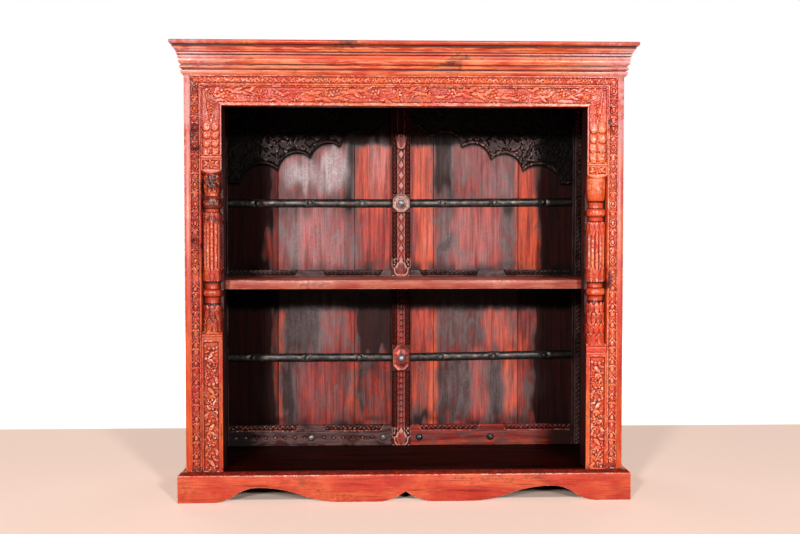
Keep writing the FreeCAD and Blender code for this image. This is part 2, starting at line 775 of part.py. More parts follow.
def lozenge(z):
    """A low four-sided pyramid on the centre stile."""
    half = lozenge_width / 2
    reach = lozenge_pitch / 2
    corners = [Vector(half, centre_stile_face_y, z), Vector(0, centre_stile_face_y, z + reach),
               Vector(-half, centre_stile_face_y, z), Vector(0, centre_stile_face_y, z - reach)]
    apex = Vector(0, centre_stile_face_y - lozenge_height, z)
    faces = [Part.Face(Part.makePolygon([*corners, corners[0]]))]
    for start, end in zip(corners, [*corners[1:], corners[0]]):
        faces.append(Part.Face(Part.makePolygon([start, end, apex, start])))
    return Part.Solid(Part.Shell(faces))


def centre_stile():
    """The meeting stile: sunk side bands, a chain of lozenges, and buds at its foot, rail and head."""
    strip = box((-half_centre_stile, half_centre_stile), (centre_stile_face_y, plank_front_y),
                (floor_z, ceiling_z))
    band = box((half_centre_stile - centre_stile_band_width, half_centre_stile + overrun),
               (centre_stile_face_y - overrun, centre_stile_face_y + centre_stile_band_depth),
               (floor_z - overrun, ceiling_z + overrun))
    top_bud_z = ceiling_z - top_bud_drop
    pieces = [strip.cut([band, mirrored(band)])]
    for foot_z in (floor_z, shelf_top_z, top_bud_z):
        pieces.append(bud(foot_z, foot_z + bud_shoulder_height, foot_z + bud_height))
    taken = [(floor_z, floor_z + bud_height), (shelf_z, shelf_top_z + bud_height),
             (top_bud_z, top_bud_z + bud_height)]
    for middle, height in ((upper_bar_z, upper_boss_height), (lower_bar_z, lower_boss_height)):
        taken.append((middle - height / 2, middle + height / 2))
    for i in range(int((ceiling_z - floor_z) / lozenge_pitch)):
        low_z = floor_z + i * lozenge_pitch
        if all(low_z + lozenge_pitch <= start or low_z >= end for start, end in taken):
            pieces.append(lozenge(low_z + lozenge_pitch / 2))
    return joined(pieces).cut(front_shanks(centre_stile_face_y - overrun, plank_front_y + overrun))


def spandrel_edge():
    """The cusped lower edge, from the leaf stile in to the centre stile."""
    def place(share):
        return (half_centre_stile + rail_length * share[0], ceiling_z - spandrel_drop * (1 - share[1]))
    tips = [place(share) for share in SPANDREL_TIP_SHARES]
    edge = [(leaf_stile_inner_x, tips[0][1]), tips[0]]
    for peak, tip in zip(SPANDREL_PEAK_SHARES, tips[1:]):
        edge += [("via", place(peak)), tip]
    bend_share, end_share = SPANDREL_OGEE_SHARES
    return [*edge, ("via", place(bend_share)), place(end_share)]


def spandrel():
    """A cusped arch board, whose face is sunk behind a raised rim along the cusps."""
    face_y = plank_front_y - spandrel_thickness
    edge = spandrel_edge()
    board = front_prism([*edge, (half_centre_stile, ceiling_z), (leaf_stile_inner_x, ceiling_z)],
                        face_y, plank_front_y)
    sunk_edge = placed(edge, lambda x, z: (x, z + spandrel_rim_width))
    sunk = front_prism([*sunk_edge, (half_centre_stile, ceiling_z + overrun),
                        (leaf_stile_inner_x, ceiling_z + overrun)],
                       face_y - overrun, face_y + spandrel_rim_depth)
    return board.cut(sunk)


# Ironwork
def iron_bar(name, side, level, rise):
    """A forged bar of half-round section, flattened and drilled at each rivet."""
    low = (plank_front_y, level - bar_width / 2)
    high = (plank_front_y, level + bar_width / 2)
    section = [low, *bend(low, high, -bar_thickness)]
    bar = face_of(placed(section, lambda y, z: Vector(half_centre_stile - overrun, y, z)))
    bar = bar.extrude(RIGHTWARD * (rail_length + 2 * overrun))
    bar.rotate(Vector(half_centre_stile, plank_front_y, level), BACKWARD,
               -math.degrees(math.atan(rise / rail_length)))
    bar = bar.common(box((half_centre_stile, leaf_stile_inner_x),
                         (plank_front_y - bar_thickness - overrun, plank_front_y),
                         (level - bar_width, level + bar_width)))
    if side < 0:
        bar = mirrored(bar)
    tool_y = plank_front_y - bar_thickness - overrun
    cuts = []
    for x, z in rivet_places()[name]:
        cuts.append(square_shank(x, z, shank_width, tool_y, plank_front_y + overrun))
        cuts.append(box((x - bar_flat_length / 2, x + bar_flat_length / 2),
                        (tool_y, plank_front_y - bar_seat_thickness), (z - bar_width, z + bar_width)))
    return bar.cut(cuts)


def bar_rivets():
    seat_y = plank_front_y - bar_seat_thickness
    heads = []
    for group in rivet_places().values():
        heads += [forged_nail(x, z, seat_y, rivet_head_radius, rivet_head_height,
                              plank_back_y - seat_y) for x, z in group]
    return Part.makeCompound(heads)


def rail_studs():
    return Part.makeCompound([forged_nail(x, z, leaf_face_y, rail_stud_radius, rail_stud_height,
                                          plank_back_y - leaf_face_y) for x, z in stud_places()])


def boss(middle_z, width, height):
    """An iron plate with cut corners on the centre stile, under the nail that holds the bars' ends."""
    corner = boss_corner_width
    quarter = [(width / 2, height / 2 - corner), (width / 2 - corner, height / 2)]
    outline = []
    for turn_x, turn_z in ((1, 1), (-1, 1), (-1, -1), (1, -1)):
        pair = [(turn_x * x, middle_z + turn_z * z) for x, z in quarter]
        outline += pair if turn_x == turn_z else pair[::-1]
    face_y = centre_stile_face_y - boss_thickness
    plate = front_prism(outline, face_y, centre_stile_face_y)
    rim = [edge for edge in plate.Edges if abs(edge.CenterOfMass.y - face_y) < joint_clearance]
    plate = plate.makeChamfer(boss_edge_chamfer, rim)
    return plate.cut(square_shank(0, middle_z, shank_width, face_y - overrun,
                                  centre_stile_face_y + overrun))


def boss_nails():
    seat_y = centre_stile_face_y - boss_thickness
    return Part.makeCompound([forged_nail(0, z, seat_y, boss_nail_head_radius, boss_nail_head_height,
                                          plank_back_y - seat_y) for z in (upper_bar_z, lower_bar_z)])


# The whole part
def single_pieces():
    return {
        "top_board": top_board(), "cornice_fascia": cornice_fascia(),
        "ceiling_board": ceiling_board(), "bottom_board": bottom_board(), "shelf": shelf(),
        "plinth_front": plinth_front(), "plinth_back": plinth_back(),
        "plinth_corner_blocks": corner_blocks(), "frieze_strip": frieze_strip(),
        "head_rail": head_rail(), "centre_stile": centre_stile(), "bar_rivets": bar_rivets(),
        "rail_studs": rail_studs(), "boss_nails": boss_nails(),
        "batten_nails": Part.makeCompound(batten_nails()),
        "upper_boss": boss(upper_bar_z, upper_boss_width, upper_boss_height),
        "lower_boss": boss(lower_bar_z, lower_boss_width, lower_boss_height),
        "post_left": mirrored(post(LEFT_STATION_SHARES)), "post_right": post(RIGHT_STATION_SHARES),
    }


def paired_pieces():
    return {
        "side_panel": side_panel(), "plinth_side": plinth_side(), "shelf_cleat": shelf_cleat(),
        "border_strip": border_strip(), "leaf_stile": leaf_stile(), "bottom_rail": bottom_rail(),
        "mid_rail": mid_rail(), "arch_spandrel": spandrel(),
    }


def cornice_pieces():
    """Two courses of moulding, each in three mitred runs."""
    courses = {
        "cornice_lower": (lower_cornice_profile(), cornice_band_head_projection + cornice_band_sag,
                          frieze_top_z, upper_cornice_z),
        "cornice_upper": (upper_cornice_profile(), cornice_cove_head_projection,
                          upper_cornice_z, top_board_z),
    }
    pieces = {}
    for name, course in courses.items():
        pieces[name + "_front"] = front_run(*course)
        pieces[name + "_right"] = side_run(*course)
        pieces[name + "_left"] = mirrored(side_run(*course))
    return pieces


def back_pieces():
    edges = plank_edges()
    names = ("left_outer", "left_middle", "left_inner", "right_inner", "right_middle", "right_outer")
    pieces = {"back_plank_" + name: plank(low, high) for name, low, high in zip(names, edges, edges[1:])}
    for name, span in zip(("lower", "middle", "upper"), batten_spans()):
        pieces["back_batten_" + name] = batten(span)
    for row in bar_rows():
        pieces["iron_bar_" + row[0]] = iron_bar(*row)
    return pieces


def main():
    os.makedirs("parts", exist_ok=True)
    pieces = {**single_pieces(), **cornice_pieces(), **back_pieces()}
    for name, shape in paired_pieces().items():
        pieces[name + "_right"] = shape
        pieces[name + "_left"] = mirrored(shape)
    for name, shape in pieces.items():
        shape.exportStep("parts/" + name + ".step")
        print(name, len(shape.Solids), "solids,", round(shape.Volume), "mm3, valid", shape.isValid())


main()
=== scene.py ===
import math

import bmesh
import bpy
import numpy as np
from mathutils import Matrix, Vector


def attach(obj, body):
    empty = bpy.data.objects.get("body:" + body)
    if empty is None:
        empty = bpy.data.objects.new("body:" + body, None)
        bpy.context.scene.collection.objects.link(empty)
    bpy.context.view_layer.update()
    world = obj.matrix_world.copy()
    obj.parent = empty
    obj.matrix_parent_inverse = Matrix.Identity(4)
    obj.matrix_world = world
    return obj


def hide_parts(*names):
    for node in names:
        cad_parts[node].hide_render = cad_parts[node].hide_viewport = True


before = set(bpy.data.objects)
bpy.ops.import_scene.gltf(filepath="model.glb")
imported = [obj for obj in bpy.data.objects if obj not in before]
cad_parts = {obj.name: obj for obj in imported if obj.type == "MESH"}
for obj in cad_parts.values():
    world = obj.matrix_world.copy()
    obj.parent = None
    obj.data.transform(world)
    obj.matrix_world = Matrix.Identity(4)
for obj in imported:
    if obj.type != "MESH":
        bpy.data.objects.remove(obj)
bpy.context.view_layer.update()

# Looks of the open bookcase: carving, turned posts, worn finishes, ironwork, camera and light.
# Lengths are in millimetres until a mesh is made. X runs along the width, Y to the back and Z up.
# Carving is real relief: motifs are drawn as heights on a raster, and the fine grid of each carved
# piece takes its depth from there. side is -1 on the left and 1 on the right.

MM = 0.001
FULL_TURN = 2 * math.pi
UP = math.pi / 2
DOWN = -math.pi / 2
SIDES = ((-1, "left"), (1, "right"))

# Places of the construction, the same as the fixed frame's
FLOOR_Z = 80.0
OPENING_TOP_Z = 1034.0
HEAD_RAIL_TOP_Z = 1086.0
FRIEZE_TOP_Z = 1113.0
CEILING_Z = 1093.0
TOP_BOARD_Z = 1188.0
SHELF_Z = 554.0
SHELF_TOP_Z = 578.0
BODY_HALF = 575.0
SIDE_INNER_X = 555.0
OPENING_HALF = 477.0
POST_X = 504.0
POST_HALF = 27.0
POST_OUTER_X = POST_X + POST_HALF
BORDER_WIDTH = 28.0
FRONT_Y = -167.0
BORDER_Y = -171.0
POST_Y = -175.5
POST_BACK_Y = -103.5
HEAD_RAIL_BACK_Y = -141.0
TURNING_Y = -148.5
REAR_Y = 200.0
PLANK_Y = 168.0
PLANK_BACK_Y = 184.0
LEAF_Y = 156.0
STILE_Y = 148.0
STILE_HALF = 27.0
LEAF_STILE_X = 505.0
LEAF_OUTER_X = 535.0
RAIL_LENGTH = LEAF_STILE_X - STILE_HALF
UPPER_BAR_Z = 791.0
LOWER_BAR_Z = 338.0
PLANK_EDGES = (-565.0, -359.9, -136.2, 0.0, 96.05, 345.8, 565.0)

# Where the borders' and posts' rows start to fan out towards the mitres
BORDER_BEND_Z = 1040
POST_BEND_Z = 950

rng_of = np.random.default_rng


# Numbers
def smooth(value):
    value = np.clip(value, 0, 1)
    return value * value * (3 - 2 * value)


def lattice_noise(u, v, cell_u, cell_v, seed):
    """Smooth random values from -1 to 1 whose features are about cell_u by cell_v in size."""
    side = 64
    table = rng_of(seed).uniform(-1, 1, (side, side))
    a, b = np.broadcast_arrays(np.asarray(u, float) / cell_u, np.asarray(v, float) / cell_v)
    i = np.floor(a).astype(int)
    j = np.floor(b).astype(int)
    s = smooth(a - i)
    t = smooth(b - j)

    def across(row):
        return table[row % side, i % side] * (1 - s) + table[row % side, (i + 1) % side] * s
    return across(j) * (1 - t) + across(j + 1) * t


def steps(low, high, pitch):
    """Evenly spaced values from low to high, about pitch apart."""
    return np.linspace(low, high, max(2, int(round((high - low) / pitch)) + 1))


def blurred(raster, reach):
    """The raster averaged twice over a square of reach cells each way."""
    width = 2 * reach + 1
    for axis in (0, 1, 0, 1):
        padding = [(0, 0), (0, 0)]
        padding[axis] = (reach + 1, reach)
        total = np.cumsum(np.pad(raster, padding, mode="edge"), axis=axis)
        high = np.take(total, range(width, total.shape[axis]), axis=axis)
        low = np.take(total, range(0, total.shape[axis] - width), axis=axis)
        raster = (high - low) / width
    return raster


def eased_edge(distance, radius):
    """How far a rounded arris lies under the face at that distance from the corner."""
    inside = np.clip(radius - distance, 0, radius)
    return radius - np.sqrt(radius ** 2 - inside ** 2)


def oval(u, v, half_u, half_v, turns):
    """Points on an oval about (u, v), at those angles."""
    return list(zip(u + half_u * np.cos(turns), v + half_v * np.sin(turns)))


def fanned(levels, bend, top):
    """Rows of heights: level up to bend, then fanning out until the last row follows top."""
    share = np.clip((levels - bend) / (levels[-1] - bend), 0, 1)[:, None]
    return np.where(share > 0, bend + share * (top - bend), levels[:, None] + 0 * top)


class Marks(dict):
    """What a finish reads at each point of a piece, such as hollow (dirt and glaze, and also
    painted shade) and crest (wear, partly painted highlight).
    """

    # Darkens the hollow mark, both for dirt and for painted shade.
    def darken(self, value):
        self["hollow"] = np.maximum(self["hollow"], value)

    def rub(self, value):
        self["crest"] = np.maximum(self["crest"], value)


# Relief carving
class Relief:
    """Carving on a face: heights in mm over a raster, where 0 is the uncut face."""

    cell = 0.5

    def __init__(self, u_range, v_range, ground=0.0):
        self.u, self.v = (low + self.cell * np.arange(int((high - low) / self.cell) + 2)
                          for low, high in (u_range, v_range))
        self.height = np.full((self.v.size, self.u.size), float(ground))
        self.cut = np.zeros_like(self.height)
        self.ground = ground

    def window(self, u, v, reach):
        """The raster cells within reach of (u, v), and their offsets from it."""
        spans = []
        for places, place in ((self.v, v), (self.u, u)):
            first = min(places.size, max(0, int((place - reach - places[0]) / self.cell)))
            last = min(places.size, max(first, int((place + reach - places[0]) / self.cell) + 2))
            spans.append(slice(first, last))
        return tuple(spans), self.u[None, spans[1]] - u, self.v[spans[0], None] - v

    def lift(self, cells, fullness, top, power=0.5, fall=0.0):
        """Raises the ground towards top, less fall, where fullness is over 0."""
        form = self.ground + (top - self.ground) * np.clip(fullness, 0, 1) ** power - fall
        view = self.height[cells]
        np.maximum(view, np.where(fullness > 0, form, -99), out=view)

    def dig(self, cells, depth):
        view = self.cut[cells]
        np.maximum(view, depth, out=view)

    def sink(self, u_range, v_range, depth, corner=0.0):
        """Lowers a rounded rectangle to depth, and makes that the ground of what follows."""
        u, v = self.u[None, :], self.v[:, None]
        du = np.maximum(u_range[0] + corner - u, u - u_range[1] + corner)
        dv = np.maximum(v_range[0] + corner - v, v - v_range[1] + corner)
        outside = np.hypot(np.maximum(du, 0), np.maximum(dv, 0)) + np.minimum(np.maximum(du, dv), 0)
        self.height[outside < corner] = -depth
        self.ground = -depth

    def dome(self, u, v, half_u, half_v=None, angle=0.0, top=0.0, power=0.5):
        half_v = half_v or half_u
        cells, du, dv = self.window(u, v, max(half_u, half_v))
        along = du * math.cos(angle) + dv * math.sin(angle)
        across = dv * math.cos(angle) - du * math.sin(angle)
        self.lift(cells, 1 - (along / half_u) ** 2 - (across / half_v) ** 2, top, power)

    def leaf(self, u, v, length, width, angle, top=0.0, bow=0.0, vein=0.7):
        """A leaf that grows from (u, v), with a bowed mid-rib."""
        cells, du, dv = self.window(u, v, length * 1.05 + width / 2)
        along = (du * math.cos(angle) + dv * math.sin(angle)) / length
        across = dv * math.cos(angle) - du * math.sin(angle) - bow * length * along ** 2
        inside = np.clip(4 * along * (1 - along), 0, 1)
        half = np.maximum(width / 2 * inside ** 0.6 * (1.25 - 0.5 * along), 0.01)
        fullness = np.where((along > 0) & (along < 1), 1 - (across / half) ** 2, -1)
        self.lift(cells, fullness, top)
        self.dig(cells, np.where(fullness > 0, vein * np.exp(-(across / 0.8) ** 2) * inside, 0))

    def pair(self, u, v, apart, length, width, lean, top, bow=0.0, vein=0.7):
        """Two leaves in mirror that grow upwards and lean outwards."""
        for side in (-1, 1):
            self.leaf(u + side * apart, v, length, width, UP - side * lean, top, side * bow, vein)

    def scale(self, u, v, half_u, length, tip, top, tilt):
        """A round-ended scale that hangs from v and rises towards its tip."""
        cells, du, dv = self.window(u, v, length + half_u)
        round_v = np.minimum(dv + length - tip, 0)
        fullness = np.where(dv > 0, -1, 1 - (du / half_u) ** 2 - (round_v / tip) ** 2)
        self.lift(cells, fullness, top, fall=tilt * np.clip((dv + length) / length, 0, 1))

    def lozenge(self, u, v, half_u, half_v, top):
        cells, du, dv = self.window(u, v, max(half_u, half_v))
        self.lift(cells, 1 - np.abs(du) / half_u - np.abs(dv) / half_v, top, 0.6)

    def _along(self, points, reach):
        """For each stretch between points: the cells near it and their distance from it."""
        for (u0, v0), (u1, v1) in zip(points, points[1:]):
            run = (u1 - u0, v1 - v0)
            cells, du, dv = self.window((u0 + u1) / 2, (v0 + v1) / 2, math.hypot(*run) / 2 + reach)
            length2 = max(run[0] ** 2 + run[1] ** 2, 1e-9)
            share = np.clip((du * run[0] + dv * run[1]) / length2 + 0.5, 0, 1) - 0.5
            yield cells, np.hypot(du - share * run[0], dv - share * run[1])

    def stroke(self, points, width, top=0.0, end_width=None, power=0.5):
        """A rounded ridge along points, which may taper to end_width."""
        end_width = end_width or width
        for i, (cells, distance) in enumerate(self._along(points, width / 2)):
            half = (width + (end_width - width) * i / (len(points) - 1)) / 2
            self.lift(cells, 1 - (distance / half) ** 2, top, power)

    def groove(self, points, width, depth):
        for cells, distance in self._along(points, width / 2):
            self.dig(cells, depth * np.clip(1 - distance / (width / 2), 0, 1))

    def curl(self, u, v, radius, start, turns, width, top=0.0):
        """A scroll that winds in from its rim to an eye at (u, v)."""
        share = np.linspace(0, 1, max(6, int(abs(turns) * 14)))
        reach = radius * (1 - 0.72 * share)
        self.stroke(oval(u, v, reach, reach, start + FULL_TURN * turns * share), width, top,
                    end_width=width * 0.7)
        self.dome(u, v, radius * 0.3, top=top)

    def ring(self, u, v, radius, width, top=0.0):
        turns = np.linspace(0, FULL_TURN, max(12, int(radius * 3)))
        self.stroke(oval(u, v, radius, radius, turns), width, top)

    def ring_cut(self, u, v, radius, width, depth):
        self.groove(oval(u, v, radius, radius, np.linspace(0, FULL_TURN, 14)), width, depth)

    def flower(self, u, v, radius, petals, top=0.0, turn=0.0):
        """Round petals about a button."""
        reach = 0.62 * radius
        for i in range(petals):
            angle = turn + FULL_TURN * i / petals
            self.dome(u + reach * math.cos(angle), v + reach * math.sin(angle),
                      0.42 * radius, 0.9 * math.pi * reach / petals, angle, top)
        self.ring_cut(u, v, 0.34 * radius, 1.4, 1.2)
        self.dome(u, v, 0.28 * radius, top=top)

    def fill(self, u_range, v_range, count, size, top, dice):
        """Small leaves and beads all over a ground, under the main motifs."""
        for _ in range(count):
            u = dice.uniform(*u_range)
            v = dice.uniform(*v_range)
            length = size * dice.uniform(0.7, 1.3)
            if dice.random() < 0.3:
                self.dome(u, v, length * 0.24, top=top)
            else:
                self.leaf(u, v, length, length * 0.45, dice.uniform(0, FULL_TURN), top,
                          bow=dice.uniform(-0.3, 0.3), vein=0.5)

    def settle(self, dark=1.0):
        """Softens the tool marks and works out the hollows and crests for the finish."""
        self.surface = surface = blurred(self.height - self.cut, 1)
        near = surface - blurred(surface, 4)
        wide = surface - blurred(surface, 12)
        low = 0.8 * np.clip(-near / 1.0, 0, 1) + 0.45 * np.clip(-wide / 2.4, 0, 1)
        high = np.clip(near / 0.8, 0, 1) + 0.6 * np.clip(wide / 2.0, 0, 1)
        self.hollow = dark * np.clip(low, 0, 1)
        self.crest = np.clip(high, 0, 1)
        return self

    def rub(self, u, v, half_u, half_v, amount, power=1.0):
        """Marks a lozenge (power 1) or an oval (power 2) as worn, once the relief is settled."""
        cells, du, dv = self.window(u, v, max(half_u, half_v))
        inside = 3 - 3 * np.abs(du / half_u) ** power - 3 * np.abs(dv / half_v) ** power
        inside = amount * np.clip(inside, 0, 1)
        view = self.crest[cells]
        np.maximum(view, inside, out=view)
        self.hollow[cells] *= 1 - inside

    def sample(self, raster, u, v):
        """The raster's values at places (u, v), between its cells."""
        a = np.clip((u - self.u[0]) / self.cell, 0, raster.shape[1] - 1.001)
        b = np.clip((v - self.v[0]) / self.cell, 0, raster.shape[0] - 1.001)
        i = a.astype(int)
        j = b.astype(int)
        s = a - i
        t = b - j
        low = raster[j, i] * (1 - s) + raster[j, i + 1] * s
        high = raster[j + 1, i] * (1 - s) + raster[j + 1, i + 1] * s
        return low * (1 - t) + high * t

    def at(self, u, v):
        """Heights and marks at places (u, v)."""
        return (self.sample(self.surface, u, v),
                Marks(hollow=self.sample(self.hollow, u, v), crest=self.sample(self.crest, u, v)))


# Meshes
def signed_volume(points, faces):
    total = 0.0
    for group in faces:
        for i in range(1, group.shape[1] - 1):
            total += np.einsum("ij,ij->", points[group[:, 0]],
                               np.cross(points[group[:, i]], points[group[:, i + 1]]))
    return total


def finished(name, mesh, look):
    """Gives a mesh its look and its place. Its name is the replaced node's, and one word more."""
    material, slot = look
    mesh.materials.append(material)
    piece = bpy.data.objects.new(name, mesh)
    bpy.context.scene.collection.objects.link(piece)
    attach(piece, "root")
    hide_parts(name.rpartition("_")[0])


def make_piece(name, points, faces, look, marks, crease=40):
    """A piece from points in mm. faces is a list of arrays of vertex numbers, by corner count."""
    if signed_volume(points, faces) < 0:
        faces = [group[:, ::-1] for group in faces]
    corners = np.concatenate([group.ravel() for group in faces])
    counts = np.concatenate([np.full(len(group), group.shape[1]) for group in faces])
    mesh = bpy.data.meshes.new(name)
    mesh.vertices.add(len(points))
    mesh.vertices.foreach_set("co", (points * MM).ravel())
    mesh.loops.add(len(corners))
    mesh.loops.foreach_set("vertex_index", corners)
    mesh.polygons.add(len(counts))
    mesh.polygons.foreach_set("loop_start", np.concatenate([[0], np.cumsum(counts)[:-1]]))
    mesh.update(calc_edges=True)
    for key, values in marks.items():
        layer = mesh.attributes.new(key, "FLOAT", "POINT")
        layer.data.foreach_set("value", np.asarray(values, np.float32).ravel())
    mesh.polygons.foreach_set("use_smooth", np.ones(len(counts), bool))
    mesh.set_sharp_from_angle(angle=math.radians(crease))
    finished(name, mesh, look)


def grid_quads(number):
    return np.stack([number[:-1, :-1], number[:-1, 1:], number[1:, 1:], number[1:, :-1]],
                    -1).reshape(-1, 4)


def slab(name, places, back_y, look, marks, reach_x=None):
    """A closed board from the x, y and z grids of its front. Its rim runs straight back."""
    front = np.stack(places, -1)
    rows, columns = front.shape[:2]
    number = np.arange(rows * columns).reshape(rows, columns)
    rim = np.concatenate([number[0, :-1], number[:-1, -1], number[-1, :0:-1], number[:0:-1, 0]])
    points = front.reshape(-1, 3)
    back = points[rim].copy()
    back[:, 1] = back_y
    if reach_x:
        back[:, 0] = np.clip(back[:, 0], -reach_x, reach_x)
    behind = len(points) + np.arange(len(rim))
    walls = np.stack([rim, behind, np.roll(behind, -1), np.roll(rim, -1)], -1)
    low = behind[:columns]
    right = behind[columns - 1:columns + rows - 1]
    high = behind[columns + rows - 2:2 * columns + rows - 2][::-1]
    left = np.concatenate([behind[:1], behind[:-rows:-1]])
    if rows > columns:
        strips = np.stack([right[1:-2], left[1:-2], left[2:-1], right[2:-1]], -1)
        ends = ([low[::-1], left[1:2], right[1:2]], [high, right[-2:-1], left[-2:-1]])
    else:
        strips = np.stack([low[2:-1], low[1:-2], high[1:-2], high[2:-1]], -1)
        ends = ([left, high[1:2], low[1:2]], [right[::-1], low[-2:-1], high[-2:-1]])
    faces = [grid_quads(number), walls, strips, *[np.concatenate(end)[None, :] for end in ends]]
    marks = {key: np.append(value.ravel(), value.ravel()[rim]) for key, value in marks.items()}
    make_piece(name, np.concatenate([points, back]), faces, look, marks)


def forms(name, parts, look, crease=50):
    """Closed bars or heads as one piece: for each the x, y and z of its rings, and its marks."""
    parts = [(np.stack(np.broadcast_arrays(*places), -1), marks) for places, marks in parts]
    faces = []
    start = 0
    for rings, _ in parts:
        number = np.arange(start, start + rings[..., 0].size).reshape(rings.shape[:2])
        faces += [grid_quads(np.concatenate([number, number[:, :1]], 1)), number[:1, ::-1],
                  number[-1:]]
        start += number.size
    marks = {key: np.concatenate([np.broadcast_to(marks[key], rings.shape[:2]).ravel()
                                  for rings, marks in parts]) for key in parts[0][1]}
    points = np.concatenate([rings.reshape(-1, 3) for rings, _ in parts])
    make_piece(name, points, faces, look, marks, crease)


def eased(node, radius, look, angle=40, dark_side=None, darkening=1.3):
    """A copy of a fixed piece with worn, rounded arrises. Faces towards dark_side are darkened."""
    work = bmesh.new()
    work.from_mesh(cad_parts[node].data)
    bmesh.ops.remove_doubles(work, verts=work.verts, dist=1e-5)
    bmesh.ops.dissolve_limit(work, angle_limit=math.radians(1), verts=work.verts, edges=work.edges)
    crest = work.faces.layers.float.new("crest")
    hollow = work.faces.layers.float.new("hollow")
    limit = math.radians(angle)
    arrises = [e for e in work.edges if len(e.link_faces) == 2 and e.calc_face_angle(0) > limit]
    rounded = bmesh.ops.bevel(work, geom=arrises, offset=radius * MM, offset_type="OFFSET",
                              segments=2, profile=0.5, affect="EDGES", clamp_overlap=True)
    for face in rounded["faces"]:
        face[crest] = 0.8
    for face in work.faces:
        if dark_side and face.normal.dot(Vector(dark_side)) > 0.7:
            face[hollow] = darkening
            face[crest] = 0.0
    bmesh.ops.triangulate(work, faces=[f for f in work.faces if len(f.verts) > 4])
    mesh = bpy.data.meshes.new(node + "_eased")
    work.to_mesh(mesh)
    work.free()
    mesh.polygons.foreach_set("use_smooth", np.ones(len(mesh.polygons), bool))
    mesh.set_sharp_from_angle(angle=math.radians(35))
    finished(node + "_eased", mesh, look)


# Materials
def colour(red, green, blue):
    """A colour written in 0 to 255 screen values, as Blender wants it."""
    values = [c / 255 for c in (red, green, blue)]
    return (*[c / 12.92 if c <= 0.04045 else ((c + 0.055) / 1.055) ** 2.4 for c in values], 1.0)


def along(axis, across, length):
    """Feature sizes stretched along one axis."""
    return tuple(length if key == axis else across for key in "xyz")


class Finish:
    """A node material, built step by step. base is its colour so far."""

    def __init__(self, name, slot=None, base=None):
        self.material = bpy.data.materials.new(name)
        self.material.use_nodes = True
        self.slot = slot
        self.base = base
        self.tree = self.material.node_tree
        self.shader = self.tree.nodes["Principled BSDF"]
        self.place = self.node("TexCoord").outputs["Object"]

    def feed(self, socket, value):
        """Links a socket to another, or sets it to a number or colour."""
        if isinstance(value, bpy.types.NodeSocket):
            self.tree.links.new(value, socket)
        elif value is not None:
            socket.default_value = value

    def node(self, kind, *values, **settings):
        """A node with those settings, whose first inputs take the values."""
        node = self.tree.nodes.new("ShaderNode" + kind)
        for key, value in settings.items():
            setattr(node, key, value)
        for socket, value in zip(node.inputs, values):
            self.feed(socket, value)
        return node

    def noise(self, size, detail=3.0, roughness=0.55, distortion=0.0, shift=0.0):
        """Noise whose features are about size mm, a number or one for each axis."""
        sizes = size if isinstance(size, tuple) else (size, size, size)
        mapping = self.node("Mapping", self.place, (shift, shift * 1.7, shift * 0.6))
        mapping.inputs["Scale"].default_value = [1 / (s * MM) for s in sizes]
        node = self.node("TexNoise", mapping.outputs[0])
        for key, value in (("Scale", 1.0), ("Detail", detail), ("Roughness", roughness),
                           ("Distortion", distortion)):
            node.inputs[key].default_value = value
        return node.outputs["Fac"]

    def mark(self, name):
        return self.node("Attribute", attribute_name=name).outputs["Fac"]

    def ramp(self, value, low, high, out_low=0.0, out_high=1.0):
        return self.node("MapRange", value, low, high, out_low, out_high,
                         interpolation_type="SMOOTHSTEP").outputs[0]

    def maths(self, operation, *values):
        return self.node("Math", *values, operation=operation).outputs[0]

    def add(self, first, *others):
        for other in others:
            first = self.maths("ADD", first, other)
        return first

    def times(self, a, b):
        return self.maths("MULTIPLY", a, b)

    def distance(self, axis):
        """How far a place lies from the middle, or from the floor for z."""
        axes = self.node("SeparateXYZ", self.place)
        return self.maths("ABSOLUTE", axes.outputs["xyz".index(axis)])

    def blend(self, amount, a, b, mode="MIX"):
        node = self.node("Mix", amount, data_type="RGBA", blend_type=mode)
        self.feed(node.inputs[6], a)
        self.feed(node.inputs[7], b)
        return node.outputs[2]

    def cover(self, amount, rgb):
        self.base = self.blend(amount, self.base, colour(*rgb))

    def layers(self, *rows):
        """Colours laid over the base, each where a value runs from low to high."""
        for rgb, value, low, high, *most in rows:
            self.cover(self.ramp(value, low, high, 0, *most), rgb)

    def shade(self, share):
        if share != 1.0:
            self.base = self.blend(1.0, self.base, (share, share, share, 1), "MULTIPLY")

    def finish(self, roughness, height, bump_mm, metallic=0.0, coat=0.0, coat_rough=0.3,
               specular=0.5):
        inputs = self.shader.inputs
        self.feed(inputs["Base Color"], self.base)
        self.feed(inputs["Roughness"], roughness)
        inputs["Metallic"].default_value = metallic
        inputs["Coat Weight"].default_value = coat
        inputs["Coat Roughness"].default_value = coat_rough
        inputs["Specular IOR Level"].default_value = specular
        bump = self.node("Bump")
        bump.inputs["Strength"].default_value = 0.8
        bump.inputs["Distance"].default_value = bump_mm * MM
        self.feed(bump.inputs["Height"], height)
        self.feed(inputs["Normal"], bump.outputs[0])
        return self.material, self.slot


